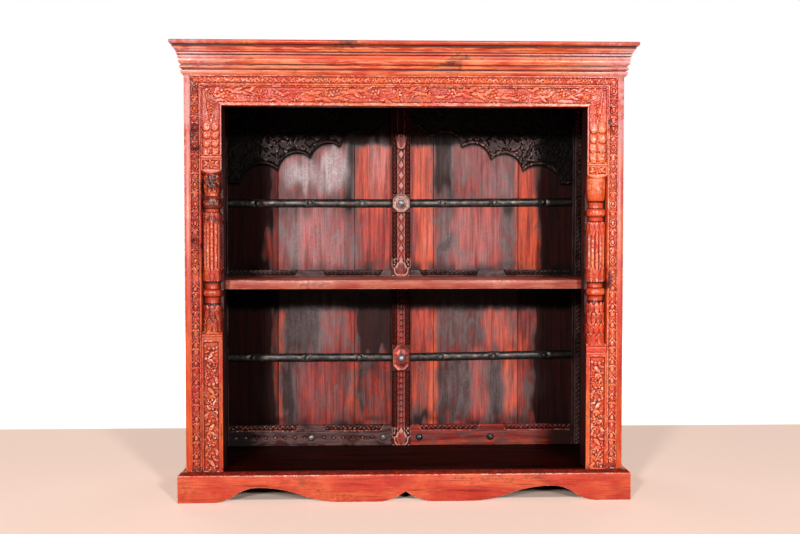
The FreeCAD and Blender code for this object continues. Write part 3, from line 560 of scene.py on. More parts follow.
def stained(name, axis, shade=1.0, soot=0.5, streaks=0.45, rub=(248, 150, 112), coat=0.2,
            smeared=False, pit=(30, 8, 5), tones=((202, 56, 28), (230, 98, 44)), glint=0.5,
            sheen_band=None, shift=0.0):
    """Red-orange stained hardwood with a dark glaze in the hollows, worn crests and painted glints
    on some of them.

    sheen_band is an axis and the two distances along it between which a pale sheen is painted over
    the stain.
    """
    f = Finish(name, "red_stained_hardwood", colour(*tones[0]))
    fibre = f.noise(along(axis, 2.2, 60), 4, 0.6, shift=shift)
    streak = f.noise(along(axis, 8, 150), 4, 0.6, 0.3, shift + 3)
    cloud = f.noise(along(axis, 55, 130), 3, 0.5, 0.4, shift + 7)
    mottle = f.noise(11, 4, 0.65, 0, shift + 11)
    speck = f.noise(3.5, 3, 0.6, 0, shift + 13)
    blotch = f.noise(along(axis, 34, 60), 2, 0.5, 0.3, shift + 21)
    grime = f.add(cloud, f.times(f.add(mottle, streak), 0.4))
    hollow = f.times(f.mark("hollow"), f.ramp(mottle, 0.25, 0.6, 0.6, 1.0))
    patch = f.add(mottle, speck)
    if smeared:
        patch = f.add(f.noise(along(axis, 5, 46), 3, 0.55, 0, shift + 17), streak)
    worn = f.times(f.mark("crest"), f.ramp(patch, 0.86, 1.16))
    f.layers((tones[1], cloud, 0.38, 0.64),
             ((216, 92, 64), mottle, 0.5, 0.72, 0.7),
             ((190, 44, 38), blotch, 0.52, 0.68, 0.5),
             ((112, 22, 12), streak, 0.47, 0.25, streaks),
             ((104, 24, 12), fibre, 0.56, 0.28, 0.4),
             ((44, 15, 11), grime, 0.98, 1.12, soot))
    # A pale sheen painted where light glances off the side lips and the cornice ends: a painted
    # highlight.
    if sheen_band:
        axis_of, near, far = sheen_band
        blotchy = f.ramp(f.add(cloud, mottle), 0.8, 1.12, 0.15, 0.85)
        f.cover(f.times(f.ramp(f.distance(axis_of), near * MM, far * MM), blotchy), (214, 156, 152))
    f.layers(((146, 28, 13), hollow, 0.08, 0.5, 0.85),
             (pit, hollow, 0.4, 0.95, 0.96),
             (rub, worn, 0.1, 0.6, 0.7))
    # Painted glints: pale highlights painted on some worn crests.
    glint_patches = f.ramp(f.noise(19, 2, 0.5, 0, shift + 27), 0.48, 0.6)
    f.cover(f.times(f.ramp(worn, 0.4, 0.85, 0, glint), glint_patches), (255, 216, 200))
    f.shade(shade)
    rough = f.ramp(f.add(mottle, f.times(hollow, 0.5)), 0.3, 1.0, 0.3, 0.55)
    rough = f.maths("SUBTRACT", rough, f.ramp(worn, 0.1, 0.6, 0, 0.08))
    return f.finish(rough, f.add(f.times(fibre, 0.6), f.times(speck, 0.5)), 0.3, coat=coat,
                    coat_rough=0.24, specular=0.27)


def painted(name, axis, tone=0.5, placed=False, rubbed=(190, 130, 112), gloss=0.2, shade=1.0,
            pit=(12, 5, 3), patchy=(0.42, 0.62), shift=0.0):
    """Old dark paint worn through to red wood.

    tone sets how much paint is left, or, where placed, the marks paint, orange and painted_sheen
    do; painted_sheen is a painted reflection of the lamps in the wax.
    """
    f = Finish(name, "worn_painted_wood", colour(122, 24, 19))
    fibre = f.noise(along(axis, 2.5, 90), 4, 0.65, 0, shift)
    streak = f.noise(along(axis, 12, 200), 4, 0.6, 0.4, shift + 2)
    cloud = f.noise(along(axis, 26, 60), 5, 0.62, 1.0, shift + 9)
    speck = f.noise(7, 4, 0.65, 0, shift + 12)
    spread = f.add(f.times(cloud, 0.65), f.times(streak, 0.35), f.times(speck, 0.15))
    f.layers(((200, 70, 58), streak, 0.35, 0.65), ((196, 108, 100), cloud, 0.55, 0.7, 0.5))
    if placed:
        paint = f.mark("paint")
        warm = f.mark("orange")
        held = f.add(f.times(paint, 0.36), f.ramp(paint, 0.75, 1.0, 0, 0.14))
    else:
        warm = f.ramp(f.noise(along(axis, 42, 700), 2, 0.5, 0.2, shift + 5), 0.58, 0.7, 0, 0.5)
        held = 0.17 + 0.34 * (tone - 0.5)
    f.cover(f.times(warm, f.ramp(streak, 0.36, 0.58, 0.2, 0.9)), (232, 96, 50))
    f.layers(((74, 16, 12), fibre, 0.55, 0.3, 0.55))
    wood = f.base
    f.base = colour(14, 8, 6)
    f.layers(((84, 64, 62), f.add(cloud, f.times(streak, 0.6)), 0.68, 0.92),
             ((10, 6, 5), fibre, 0.5, 0.35, 0.5))
    if placed:
        f.layers(((6, 3, 2), paint, 0.76, 1.0))
    f.base = f.blend(f.ramp(f.add(spread, held), 0.6, 0.94, 0, 0.95), wood, f.base)
    worn = f.times(f.mark("crest"), f.ramp(speck, *patchy))
    f.layers((pit, f.mark("hollow"), 0.1, 0.8, 0.97), (rubbed, worn, 0.15, 0.8, 0.75))
    rough = f.add(f.ramp(spread, 0.35, 0.65, 0.28, 0.44), f.ramp(f.mark("hollow"), 0.5, 1, 0, 0.5))
    if placed:
        rough = f.add(rough, f.ramp(paint, 0.86, 0.99, 0, 0.3))
        # A pale sheen painted where the lamps would reflect in the wax: a painted reflection.
        painted_sheen = f.times(f.mark("painted_sheen"), f.ramp(spread, 0.35, 0.75, 0.55, 1.0))
        f.cover(f.times(painted_sheen, f.ramp(f.add(speck, fibre), 0.8, 1.15, 0.6, 1.0)), (222, 200, 202))
    f.shade(shade)
    return f.finish(rough, f.add(f.times(fibre, 0.8), f.times(speck, 0.4)), 0.22,
                    coat=0.25 * gloss, specular=gloss)


def plain_wood(name, slot, light, dark, shift=0.0, rough=0.6, specular=0.5):
    """Sawn or dark stained boards out of the way."""
    f = Finish(name, slot, colour(*dark))
    fibre = f.noise(along("x", 3, 90), 4, 0.6, 0, shift)
    band = f.noise(along("x", 22, 400), 3, 0.55, 0.5, shift + 4)
    f.layers((light, band, 0.35, 0.65), (dark, fibre, 0.55, 0.3, 0.5),
             (light, f.mark("crest"), 0.3, 0.9, 0.4))
    roughness = f.ramp(fibre, 0.3, 0.7, rough - 0.1, rough + 0.1)
    return f.finish(roughness, fibre, 0.3, specular=specular)


def forged(name, dark, pale, rust, rusted):
    """Old iron: dark scale, some rust and rubbed crests."""
    f = Finish(name, "forged_iron", colour(*dark))
    scale = f.noise(9, 5, 0.65)
    f.layers((pale, scale, 0.35, 0.65), (rust, f.noise(26, 4, 0.6, 0.5, 8), 0.5, 0.7, rusted),
             ((150, 136, 128), f.mark("crest"), 0.3, 1.0, 0.6),
             ((14, 11, 9), f.mark("hollow"), 0.2, 0.9, 0.8))
    height = f.add(f.times(scale, 0.7), f.times(f.noise(2.2, 3, 0.6, 0, 4), 0.3))
    return f.finish(f.ramp(scale, 0.3, 0.7, 0.28, 0.48), height, 0.7, metallic=0.5)


STAIN_LEFT = stained("red_stain_left", "z", shade=0.86, soot=0.75, streaks=0.7, glint=0.85)
STAIN_RIGHT = stained("red_stain_right", "z", soot=0.35, streaks=0.35, rub=(255, 170, 132),
                      tones=((220, 62, 32), (242, 108, 50)), glint=0.7, shift=1.0)
STAIN_X = stained("red_stain_level", "x", soot=0.4, streaks=0.4, shift=2.0)
STAIN_CORNICE = stained("red_stain_cornice", "x", soot=0.7, streaks=0.7, rub=(250, 152, 112),
                        coat=0.05, smeared=True, pit=(64, 15, 9), glint=0.0, sheen_band=("x", 400, 590),
                        tones=((212, 70, 40), (238, 114, 62)), shift=2.5)
STAIN_Y = stained("red_stain_deep", "y", soot=0.4, shift=4.0)
STAIN_SIDE = stained("red_stain_side", "z", soot=0.25, coat=0.1, sheen_band=("z", 800, 1050), shift=6.0)
STAIN_PLINTH = stained("red_stain_plinth", "x", soot=0.4, streaks=0.85,
                       tones=((208, 66, 46), (236, 104, 66)), shift=12.0)
STAIN_EDGE = stained("red_stain_shelf", "x", shade=0.68, soot=0.5, streaks=1.0, coat=0.02,
                     smeared=True, tones=((200, 84, 62), (240, 134, 108)), shift=8.0)
PAINT_LEFT = painted("worn_paint_left", "z", placed=True, shift=1.0)
PAINT_RIGHT = painted("worn_paint_right", "z", placed=True, shift=5.0)
# The outer strips of the back lie in shade: these copies of the paint are darker and duller, which
# is painted shade.
PAINT_SHADED_FAR_LEFT = painted("worn_paint_far_left", "z", placed=True, gloss=0.05, shade=0.45, shift=1.5)
PAINT_SHADED_FAR_RIGHT = painted("worn_paint_far_right", "z", placed=True, gloss=0.1, shade=0.9, shift=5.5)
PAINT_RAIL = painted("worn_paint_rail", "x", tone=1.15, rubbed=(206, 104, 84), shift=9.0)
PAINT_RAIL_RED = painted("worn_paint_red_rail", "x", rubbed=(214, 104, 92), gloss=0.16, shade=0.8,
                         pit=(40, 12, 6), shift=11.0)
PAINT_CARVED = painted("worn_paint_carved", "z", tone=0.45, rubbed=(238, 176, 162), gloss=0.12,
                       shade=0.86, pit=(48, 12, 5), patchy=(0.2, 0.5), shift=13.0)
PAINT_ARCH = painted("worn_paint_arch", "x", tone=1.6, rubbed=(255, 244, 236), gloss=0.09,
                     shade=0.42, patchy=(0.52, 0.64), shift=17.0)
PAINT_ARCH_RED = painted("worn_paint_red_arch", "x", tone=1.2, rubbed=(228, 172, 156), gloss=0.12,
                         shade=0.46, shift=18.0)
# The leaf stiles stand in the shaded outer strips: their paint is dark all over and dull, partly
# painted shade.
PAINT_SHADED_EDGE = painted("worn_paint_edge", "z", tone=1.6, rubbed=(64, 36, 28), gloss=0.15, shift=19.0)
DARK_BOARD = plain_wood("dark_board", "dark_stained_wood", (62, 12, 4), (10, 2, 1), specular=0.03)
SAWN_X = plain_wood("sawn_board", "unfinished_wood", (176, 120, 84), (128, 78, 50), 3.0, 0.75)
IRON = forged("forged_iron", (22, 22, 21), (58, 56, 54), (100, 58, 46), 0.45)
RIVET = forged("rivet_iron", (48, 46, 44), (104, 102, 98), (100, 56, 44), 0.5)
NAIL = forged("nail_iron", (92, 94, 98), (182, 184, 190), (84, 66, 58), 0.25)
PLATE_UPPER = forged("plate_upper", (104, 70, 62), (166, 124, 114), (120, 58, 44), 0.5)
PLATE_LOWER = forged("plate_lower", (124, 38, 30), (176, 70, 56), (150, 40, 28), 0.6)


# Border strips and frieze
BEAD_RADIUS = 3.0
BEAD_END = 6.1
FRIEZE_HEIGHT = FRIEZE_TOP_Z - HEAD_RAIL_TOP_Z
BUTTONS_FROM_Z = 600


def bead_columns(width):
    """Places across a strip with a half-round bead on its first 6 mm and a fillet on its last 3."""
    return np.concatenate([[0, 0.35, 0.9, 1.7, 3, 4.3, 5.1, 5.65, BEAD_END],
                           steps(6.8, width - 3.2, 0.85), [width - 2.8, width - 1.4, width]])


def beaded(relief, u, v, across, wobble):
    """Heights and marks of a strip. across is the distance from its beaded edge."""
    carved, marks = relief.at(u, v)
    bead = np.sqrt(np.clip(BEAD_RADIUS ** 2 - (across - BEAD_RADIUS) ** 2, 0, None))
    marks.darken(np.where(np.abs(across - BEAD_END) < 0.6, 0.9, 0))
    marks.rub(np.where(np.abs(across - BEAD_RADIUS) < 1.4, 0.5, 0))
    return np.where(across <= BEAD_END, bead, carved) + wobble - 0.25, marks


def roundel(relief, u, v, dice):
    """An upright ringed button with a bud in it."""
    relief.stroke(oval(u, v, 7.4, 9.8, np.linspace(0, FULL_TURN, 25)), 3.4, 0.2)
    relief.dome(u, v, 4.8, 6.6, top=0.5)
    relief.ring_cut(u, v, 2.4, 1.3, 1.1)
    relief.dome(u + dice.uniform(-0.5, 0.5), v, 1.5, top=0.6)


def border_relief(seed, dark):
    """Ringed buttons above and small arches below, each over a spindle between soft leaves."""
    dice = rng_of(seed)
    relief = Relief((0, BORDER_WIDTH), (FLOOR_Z, FRIEZE_TOP_Z))
    relief.sink((6.2, 26.2), (FLOOR_Z + 2, HEAD_RAIL_TOP_Z + 20), 3.0, 2.0)
    relief.fill((7, 26), (FLOOR_Z + 4, HEAD_RAIL_TOP_Z + 18), 300, 7, -1.8, dice)
    for z in (*np.arange(77.6, 580, 48.9), *np.arange(631.4, 1130, 49.4)):
        u = 16.0 + dice.uniform(-0.4, 0.4)
        if z > BUTTONS_FROM_Z:
            roundel(relief, u, z, dice)
        else:
            relief.stroke([(u - 8.6, z - 5), (u, z + 6), (u + 8.6, z - 5)], 3.8, 0.2)
            relief.dome(u, z - 7.5, 5.2, 8.0, top=0.6)
        knot = z - 24.5
        for side in (-1, 1):
            for rise in (-1, 1):
                turn = -rise * (UP - side * rise * 0.8) + dice.uniform(-0.12, 0.12)
                relief.leaf(u + side * 1.5, knot + rise * 8.5, 12.5, 6.8, turn, -0.3,
                            bow=side * rise * 0.25, vein=0.4)
        relief.dome(u + dice.uniform(-0.6, 0.6), knot, 3.4, 9.0, top=0.5)
    return relief.settle(dark=dark)


def border_strip(side, word, look, dark, grimy_places, seed):
    """One border. grimy_places are the (height, half height) of its blackened stretches."""
    relief = border_relief(seed, dark)
    u = bead_columns(BORDER_WIDTH)
    levels = np.concatenate([steps(FLOOR_Z, BORDER_BEND_Z, 0.95),
                             BORDER_BEND_Z + steps(1.0, 60.0, 1.0)])
    mitre = HEAD_RAIL_TOP_Z + u[None, :] * FRIEZE_HEIGHT / BORDER_WIDTH
    z = fanned(levels, BORDER_BEND_Z, mitre)
    u = np.broadcast_to(u, z.shape)
    out, marks = beaded(relief, u, z, u, 0.25 * lattice_noise(u, z, 30, 70, seed + 5))
    if side < 0:
        marks["crest"] *= 0.6
        blotchy = np.clip(0.5 + 0.5 * lattice_noise(u, z, 12, 60, seed + 9), 0, 1)
        marks.darken(np.where(u < BEAD_END, 0.55, 0.3) * blotchy)
    marks.darken(smooth((106 - z) / 28) * (0.9 + 0.5 * lattice_noise(u, z, 9, 9, seed + 8)))
    spots = np.clip(0.35 + 0.9 * lattice_noise(u, z, 8, 12, seed + 10), 0, 0.85)
    for level, half in grimy_places:
        grimy = spots * smooth(1.3 - np.abs(z - level) / half)
        marks.darken(grimy)
        marks["crest"] *= 1 - grimy
    y = BORDER_Y - out + eased_edge(BORDER_WIDTH - u, 1.0)
    slab("border_strip_" + word + "_carved", (side * (POST_OUTER_X + u), y, z), POST_BACK_Y, look,
         marks, reach_x=SIDE_INNER_X - 0.1)


def frieze_relief():
    """A narrow running scroll with small flowers."""
    dice = rng_of(31)
    relief = Relief((-560, 560), (HEAD_RAIL_TOP_Z, FRIEZE_TOP_Z))
    relief.sink((-556, 556), (HEAD_RAIL_TOP_Z + 6.4, FRIEZE_TOP_Z - 2.8), 2.8, 1.0)
    relief.fill((-555, 555), (HEAD_RAIL_TOP_Z + 8, FRIEZE_TOP_Z - 4), 150, 9, -1.6, dice)
    middle = HEAD_RAIL_TOP_Z + 15.3
    x = -542.0
    hand = 1
    while x < 545:
        pick = dice.random()
        if pick < 0.3:
            relief.flower(x, middle, 7.4, 6, 0, dice.uniform(0, 1))
        elif pick < 0.75:
            relief.curl(x, middle + hand * 0.8, 6.8, dice.uniform(0, 6), hand * 1.1, 2.8)
        else:
            for turn in (0.5, 2.6, 3.7, 5.7):
                relief.leaf(x, middle, 9.5, 5.5, turn + dice.uniform(-0.2, 0.2), bow=0.15 * hand)
            relief.dome(x, middle, 2.6)
        relief.leaf(x + 6, middle - hand * 4, 11, 5, hand * 0.7, bow=-0.3 * hand)
        relief.leaf(x + 16, middle + hand * 5, 9, 4.5, math.pi + hand * 0.5, bow=0.3 * hand)
        relief.dome(x + 10.5, middle - hand * 5.5, 2.4)
        x += 20 + dice.uniform(-1, 2.5)
        hand = -hand
    return relief.settle(dark=0.75)


def frieze():
    rows = bead_columns(FRIEZE_HEIGHT)[:, None]
    share = np.linspace(-1, 1, 1020)
    height = rows + 0 * share
    z = HEAD_RAIL_TOP_Z + height
    x = share * (POST_OUTER_X + height * BORDER_WIDTH / FRIEZE_HEIGHT)
    wobble = 0.25 * lattice_noise(x, z, 60, 20, 35)
    out, marks = beaded(frieze_relief(), x, z, height, wobble)
    marks.darken(np.where(height > 26, 0.7, 0))
    slab("frieze_strip_carved", (x, BORDER_Y - out, z), HEAD_RAIL_BACK_Y, STAIN_X, marks,
         reach_x=SIDE_INNER_X - 0.1)


# Head rail
def bead_flower(relief, u, v, radius, dice):
    """A ring of beads about a button, as the old rail has."""
    for i in range(6):
        angle = FULL_TURN * i / 6 + dice.uniform(0, 0.3)
        relief.dome(u + 0.68 * radius * math.cos(angle), v + 0.68 * radius * math.sin(angle),
                    radius * 0.33)
    relief.dome(u, v, radius * 0.36, top=-0.2)


def head_rail_relief():
    """A vine with beaded flowers (b), ringed flowers (r), curls (l) and slanting leaves."""
    dice = rng_of(47)
    relief = Relief((-540, 540), (OPENING_TOP_Z, HEAD_RAIL_TOP_Z))
    relief.sink((-600, 600), (OPENING_TOP_Z + 8.5, HEAD_RAIL_TOP_Z - 3.0), 3.0, 0.0)
    relief.fill((-540, 540), (OPENING_TOP_Z + 11, HEAD_RAIL_TOP_Z - 5), 330, 14, -1.8, dice)
    middle = OPENING_TOP_Z + 29.0

    def wave(x, swing):
        return middle + swing * np.sin(FULL_TURN * x / 148 + 0.6)
    u = np.arange(-540, 541, 6.0)
    relief.stroke(list(zip(u, wave(u, 9) + dice.uniform(-1, 1, len(u)))), 3.4, -1.0)
    places = (-470, -377, -290, -196, -79, -22, 64, 121, 228, 300, 407, 480)
    for place, kind in zip(places, "brrbbrlbbrbl"):
        height = wave(place, -8) + dice.uniform(-2, 2)
        if kind == "b":
            bead_flower(relief, place, height, 13.5, dice)
        elif kind == "r":
            relief.flower(place, height, 13, 7, 0, dice.uniform(0, 1))
            relief.ring(place, height, 13.5, 2.2, -1.4)
        else:
            relief.curl(place, height, 12, dice.uniform(0, 6), 1.3, 3.6)
    x = -530.0
    hand = 1
    while x < 530:
        z = wave(x, 9)
        if min(abs(x - place) for place in places) > 17:
            size = dice.uniform(20, 28)
            relief.leaf(x, z, size, size * 0.5, hand * dice.uniform(0.6, 1.2), bow=-0.35 * hand)
            relief.leaf(x + 3, z, size * 0.8, size * 0.42, math.pi - hand * dice.uniform(0.4, 1),
                        bow=0.3 * hand)
            if dice.random() < 0.5:
                relief.curl(x + 6, z - hand * 12, 6.5, dice.uniform(0, 6), hand * 1.1, 2.8)
            else:
                relief.dome(x + 5, z - hand * 13, 4.2, 3.2, dice.uniform(0, 3))
                relief.dome(x - 4, z - hand * 14, 3.4)
        else:
            relief.leaf(x, z + hand * 9, 12, 6, hand * 1.3 + dice.uniform(-0.4, 0.4), bow=0.2)
        x += dice.uniform(18, 23)
        hand = -hand
    return relief.settle()


def head_rail():
    rail = HEAD_RAIL_TOP_Z - OPENING_TOP_Z
    rows = np.concatenate([[0, 0.4, 1.0, 1.8], steps(2.6, rail, 0.95)])[:, None]
    share = np.linspace(-1, 1, 1100)
    height = rows + 0 * share
    z = OPENING_TOP_Z + height
    x = share * (OPENING_HALF + height * 2 * POST_HALF / rail)
    out, marks = head_rail_relief().at(x, z)
    out = out + 0.3 * lattice_noise(x, z, 50, 14, 49) - 0.3
    out = out - eased_edge(height, 2.2) - eased_edge(rail - height, 0.8)
    out = out - 0.9 * np.clip(lattice_noise(x, z, 22, 5, 50) - 0.35, 0, 1) * (height < 8)
    marks.rub(np.where((height > 0.5) & (height < 5), 0.95, 0))
    mitre = np.where(share < 0, 0.95, 0.55) * smooth(1 - (1 - np.abs(share)) * 530 / 4)
    marks.darken(mitre * (height > 6))
    marks["crest"] *= 1 - mitre
    marks.darken(np.where(rail - height < 1.2, 0.8, 0))
    slab("head_rail_carved", (x, POST_Y - out, z), HEAD_RAIL_BACK_Y, STAIN_X, marks)


# Posts
# Heights where each turning starts and ends, and where the lower panel ends
LEFT_STATIONS = {
    "line": (433.4, 439.2), "bulb": (448.2, 520.0), "ring_1": (538.9, 556.4),
    "petals_1": (580.0, 608.0), "reeds": (608.0, 730.0), "petals_2": (730.0, 755.0),
    "ring_2": (769.0, 798.0), "capital": (815.0, 857.0), "upper_line": (897.0, 905.0),
    "lower_panel": 425.0,
}
RIGHT_STATIONS = {
    "line": (389.7, 404.0), "bulb": (413.9, 525.0), "ring_1": (540.0, 558.0),
    "petals_1": (577.0, 609.0), "reeds": (609.0, 702.0), "petals_2": (702.0, 731.0),
    "ring_2": (747.5, 767.0), "capital": (785.7, 846.0), "upper_line": (880.0, 887.0),
    "lower_panel": 382.0,
}
# The turnings that are soiled: how deeply, and how evenly
LEFT_SOIL = {"capital": (1.7, 0.6), "ring_2": (1.1, 0.85), "petals_2": (1.1, 0.55),
             "ring_1": (0.4, 0.55), "bulb": (0.8, 0.55)}
RIGHT_SOIL = {"petals_2": (0.3, 0.55), "petals_1": (0.4, 0.55), "bulb": (0.45, 0.55)}
# Radii of the turning. WIDE lies outside the square, and the limits tell necks and turnings
WIDE = 44.0
NECK_RADIUS = 19.8
BULB_RADIUS = 21.0
RING_RADIUS = 26.5
NECK_LIMIT = 22.3
TURNED_LIMIT = 30


def ring_points(low, high):
    """Points of a round moulding between two heights."""
    edge = 22.6
    return [(low + (high - low) * (1 - math.cos(t)) / 2,
             edge + (RING_RADIUS - edge) * math.sin(t) ** 0.8) for t in np.linspace(0, math.pi, 11)]


def bulb_points(low, high, girth, slope):
    """Points of a bulb. slope says how far a share of its height is from the full part, up to 1."""
    return [(low + share * (high - low),
             BULB_RADIUS + girth * math.sqrt(1 - max(0, slope(share)) ** 2.2))
            for share in np.linspace(0, 1, 9)]


def neck_points(low, high, below, above, waist=NECK_RADIUS, lower_gap=2, upper_gap=2):
    return [(low + lower_gap, below), ((low + high) / 2, waist), (high - upper_gap, above)]


def turning_profile(at, smooth_capital):
    """Heights and radii of the turned part, from the foot up."""
    (bulb_low, bulb_high), (cap_low, cap_high) = at["bulb"], at["capital"]
    cap_girth = 5.6 if smooth_capital else 3.6
    return np.array([
        (FLOOR_Z, WIDE), (bulb_low - 15, WIDE), (bulb_low - 2, 27.4),
        *bulb_points(bulb_low, bulb_high, 3.4, lambda share: (share - 0.25) / 0.75),
        *neck_points(bulb_high, at["ring_1"][0], 20.2, 20.4, 19.6, 3, 3),
        *ring_points(*at["ring_1"]),
        *neck_points(at["ring_1"][1], at["petals_1"][0], 20.6, 21.6),
        (at["petals_1"][0], 22.2), (at["petals_1"][1], 22.4),
        (at["reeds"][1], 22.4), (at["petals_2"][1], 22.2),
        *neck_points(at["petals_2"][1], at["ring_2"][0], 21.2, 20.6),
        *ring_points(*at["ring_2"]),
        *neck_points(at["ring_2"][1], cap_low, 20.4, 20.4, upper_gap=3),
        *bulb_points(cap_low, cap_high, cap_girth, lambda share: 1 - share / 0.7),
        (cap_high + 2, 27.4), (cap_high + 16, WIDE), (1200, WIDE)])


def turned_relief(at, smooth_capital, seed):
    """Reeds, petals and leaves round the column, drawn on its unrolled face."""
    dice = rng_of(seed)
    relief = Relief((-WIDE, WIDE), (FLOOR_Z, OPENING_TOP_Z))
    reed = math.pi * POST_HALF / 7
    low, high = at["reeds"]
    for i in range(-4, 5):
        lean = dice.uniform(-0.4, 0.4)
        points = [(i * reed + lean, low - 2), (i * reed - lean, (low + high) / 2),
                  (i * reed + lean, high + 2)]
        relief.stroke(points, reed * 0.94, 3.5, power=0.42)
    petal = math.pi * POST_HALF / 5
    for foot, tip in ((at["petals_1"][0] - 3, at["petals_1"][1] + 4),
                      (at["petals_2"][1] + 3, at["petals_2"][0] - 4)):
        turn = UP if tip > foot else DOWN
        length = abs(tip - foot)
        for i in range(-3, 4):
            u = i * petal
            between = u + petal / 2
            relief.leaf(between, foot, length, petal * 0.8, turn, 3.4, vein=0.2)
            relief.leaf(u, foot, length * 1.02, petal * 0.92, turn, 4.4, vein=0.9)
            relief.groove([(between, foot), (between, foot + 0.55 * (tip - foot))], 2.6, 2.2)
    for key in ("bulb",) if smooth_capital else ("bulb", "capital"):
        span = at[key][1] - at[key][0]
        rows = max(2, int(span / 24))
        for row in range(rows):
            z = at[key][1] - 3 - row * span / rows
            for i in range(-3, 4):
                u = (i + 0.5 * (row % 2)) * 17.0
                relief.leaf(u, z, span / rows * 1.2, 17, DOWN + dice.uniform(-0.1, 0.1),
                            2.9 - 0.2 * row, bow=dice.uniform(-0.1, 0.1), vein=0.6)
                relief.dome(u + 8.5, z - span / rows * 0.42, 3.2, 5.0, top=2.2)
    if smooth_capital:
        for i in range(-3, 4):
            relief.leaf(i * 15, at["capital"][1] + 6, 26, 13, DOWN, 0.9)
    relief.settle()
    for i in range(-3, 4):
        for z in steps(low + 8, high - 8, 9):
            relief.rub(i * reed, z, 2.0, 7, 0.9, 2.0)
    return relief


TIER_MIDDLE = 1.5
TIER_REACH = 11.2


def scale_tiers(relief, low, high, dice):
    """Tiers of round lobes in pairs, each over the root of the pair below."""
    pitch = (high - low) / 4
    for tier in range(4):
        z = high - tier * pitch + 4
        for side in (-1, 1):
            u = TIER_MIDDLE + side * TIER_REACH + dice.uniform(-0.4, 0.4)
            relief.scale(u, z, 11.6, pitch + 7, 13.0, 1.4, 3.6)
            relief.groove([(u, z - 8), (u + side * 1.2, z - pitch * 0.9)], 1.4, 0.6)
            turns = np.linspace(0.15, math.pi - 0.15, 9)
            relief.groove(oval(u, z - pitch + 6, 11.8, -13.6, turns), 2.4, 2.6)
        relief.dome(TIER_MIDDLE, z - pitch + 1, 2.4, 4.4, top=-0.4)


PENDANT_Z = 990
PENDANT_TOPS = ((-1, 1040), (1, 1074))


def pendant(relief):
    """A hanging V under the mitre, with beads down its middle and more beside it."""
    inner_top = PENDANT_TOPS[0][1]
    for side, top in PENDANT_TOPS:
        points = [(side * 12.5, top - 2), (side * 8.5, PENDANT_Z + 40), (0, PENDANT_Z)]
        relief.stroke(points, 3.6, 0.5)
        for i in range(4):
            relief.dome(side * (7.5 - 1.4 * i), inner_top + 1 - i * 8, 2.6, 3.6, side * 0.4, -0.8)
    pitch = (inner_top - PENDANT_Z) / 6.6
    for i in range(7):
        size = 4.2 - 0.4 * i
        relief.dome(0, inner_top + 4 - i * pitch, size, size * 0.9, top=-0.4)


VINE_PITCH = 95
# Leaves of the lower panel's repeat: place, length, width, turn, lean, top, bow, vein
VINE_LEAVES = (
    (-9, -8, 27, 12, UP, -2.25, 1.2, -0.2, 0.4), (4, -6, 15, 8, UP, DOWN - 0.5, 0, 0.2, 0.7),
    (1.5, -27, 17, 9, -1.57, 0, 0.9, 0.1, 0.4), (1.5, -27, 14, 9, -2.32, 0, 0.9, 0.1, 0.4),
    (1.5, -27, 14, 9, -0.82, 0, 0.9, 0.1, 0.4), (12, -38, 16, 8, DOWN, -0.3, 0, -0.3, 0.7),
    (-11, -52, 17, 8, DOWN, 0.2, 0, 0.3, 0.7), (13, -62, 15, 7.5, DOWN, 0, 0, 0.2, 0.7),
    (-6, -70, 20, 9, DOWN, -0.5, 0, -0.3, 0.7), (13, -92, 14, 7.5, UP, 0.2, 0, 0, 0.7),
    (-14, -90, 16, 7, UP, -0.2, 0, 0, 0.7),
)


def vine_unit(relief, z, m, dice):
    """One repeat: bead pair, slanting leaf, three leaves, flower and scrolls. m is -1 in mirror."""
    c = 3.0
    for side in (-1, 1):
        relief.dome(c + side * 5.2, z + dice.uniform(-0.6, 0.6), 4.8, 5.6, top=0.9)
    relief.curl(c - 9 * m, z - 42, 7.8, dice.uniform(0, 6), -m * 1.2, 3.8)
    relief.flower(c + 2 * m, z - 57, 10.5, 6, 0.7, dice.uniform(0, 1))
    relief.curl(c + 8 * m, z - 76, 7.4, dice.uniform(0, 6), m * 1.2, 3.6)
    for du, dv, length, width, turn, lean, top, bow, vein in VINE_LEAVES:
        relief.leaf(c + du * m, z + dv, length, width, turn + lean * m, top, bow * m, vein)
    relief.dome(c + 13 * m, z - 26, 4.6, 4.0)
    relief.dome(c - 14 * m, z + 3, 3.6, 5.4, 0.5 * m, -0.3)
    relief.dome(c + 15 * m, z + 6, 3.4, 5.6, -0.5 * m, -0.3)


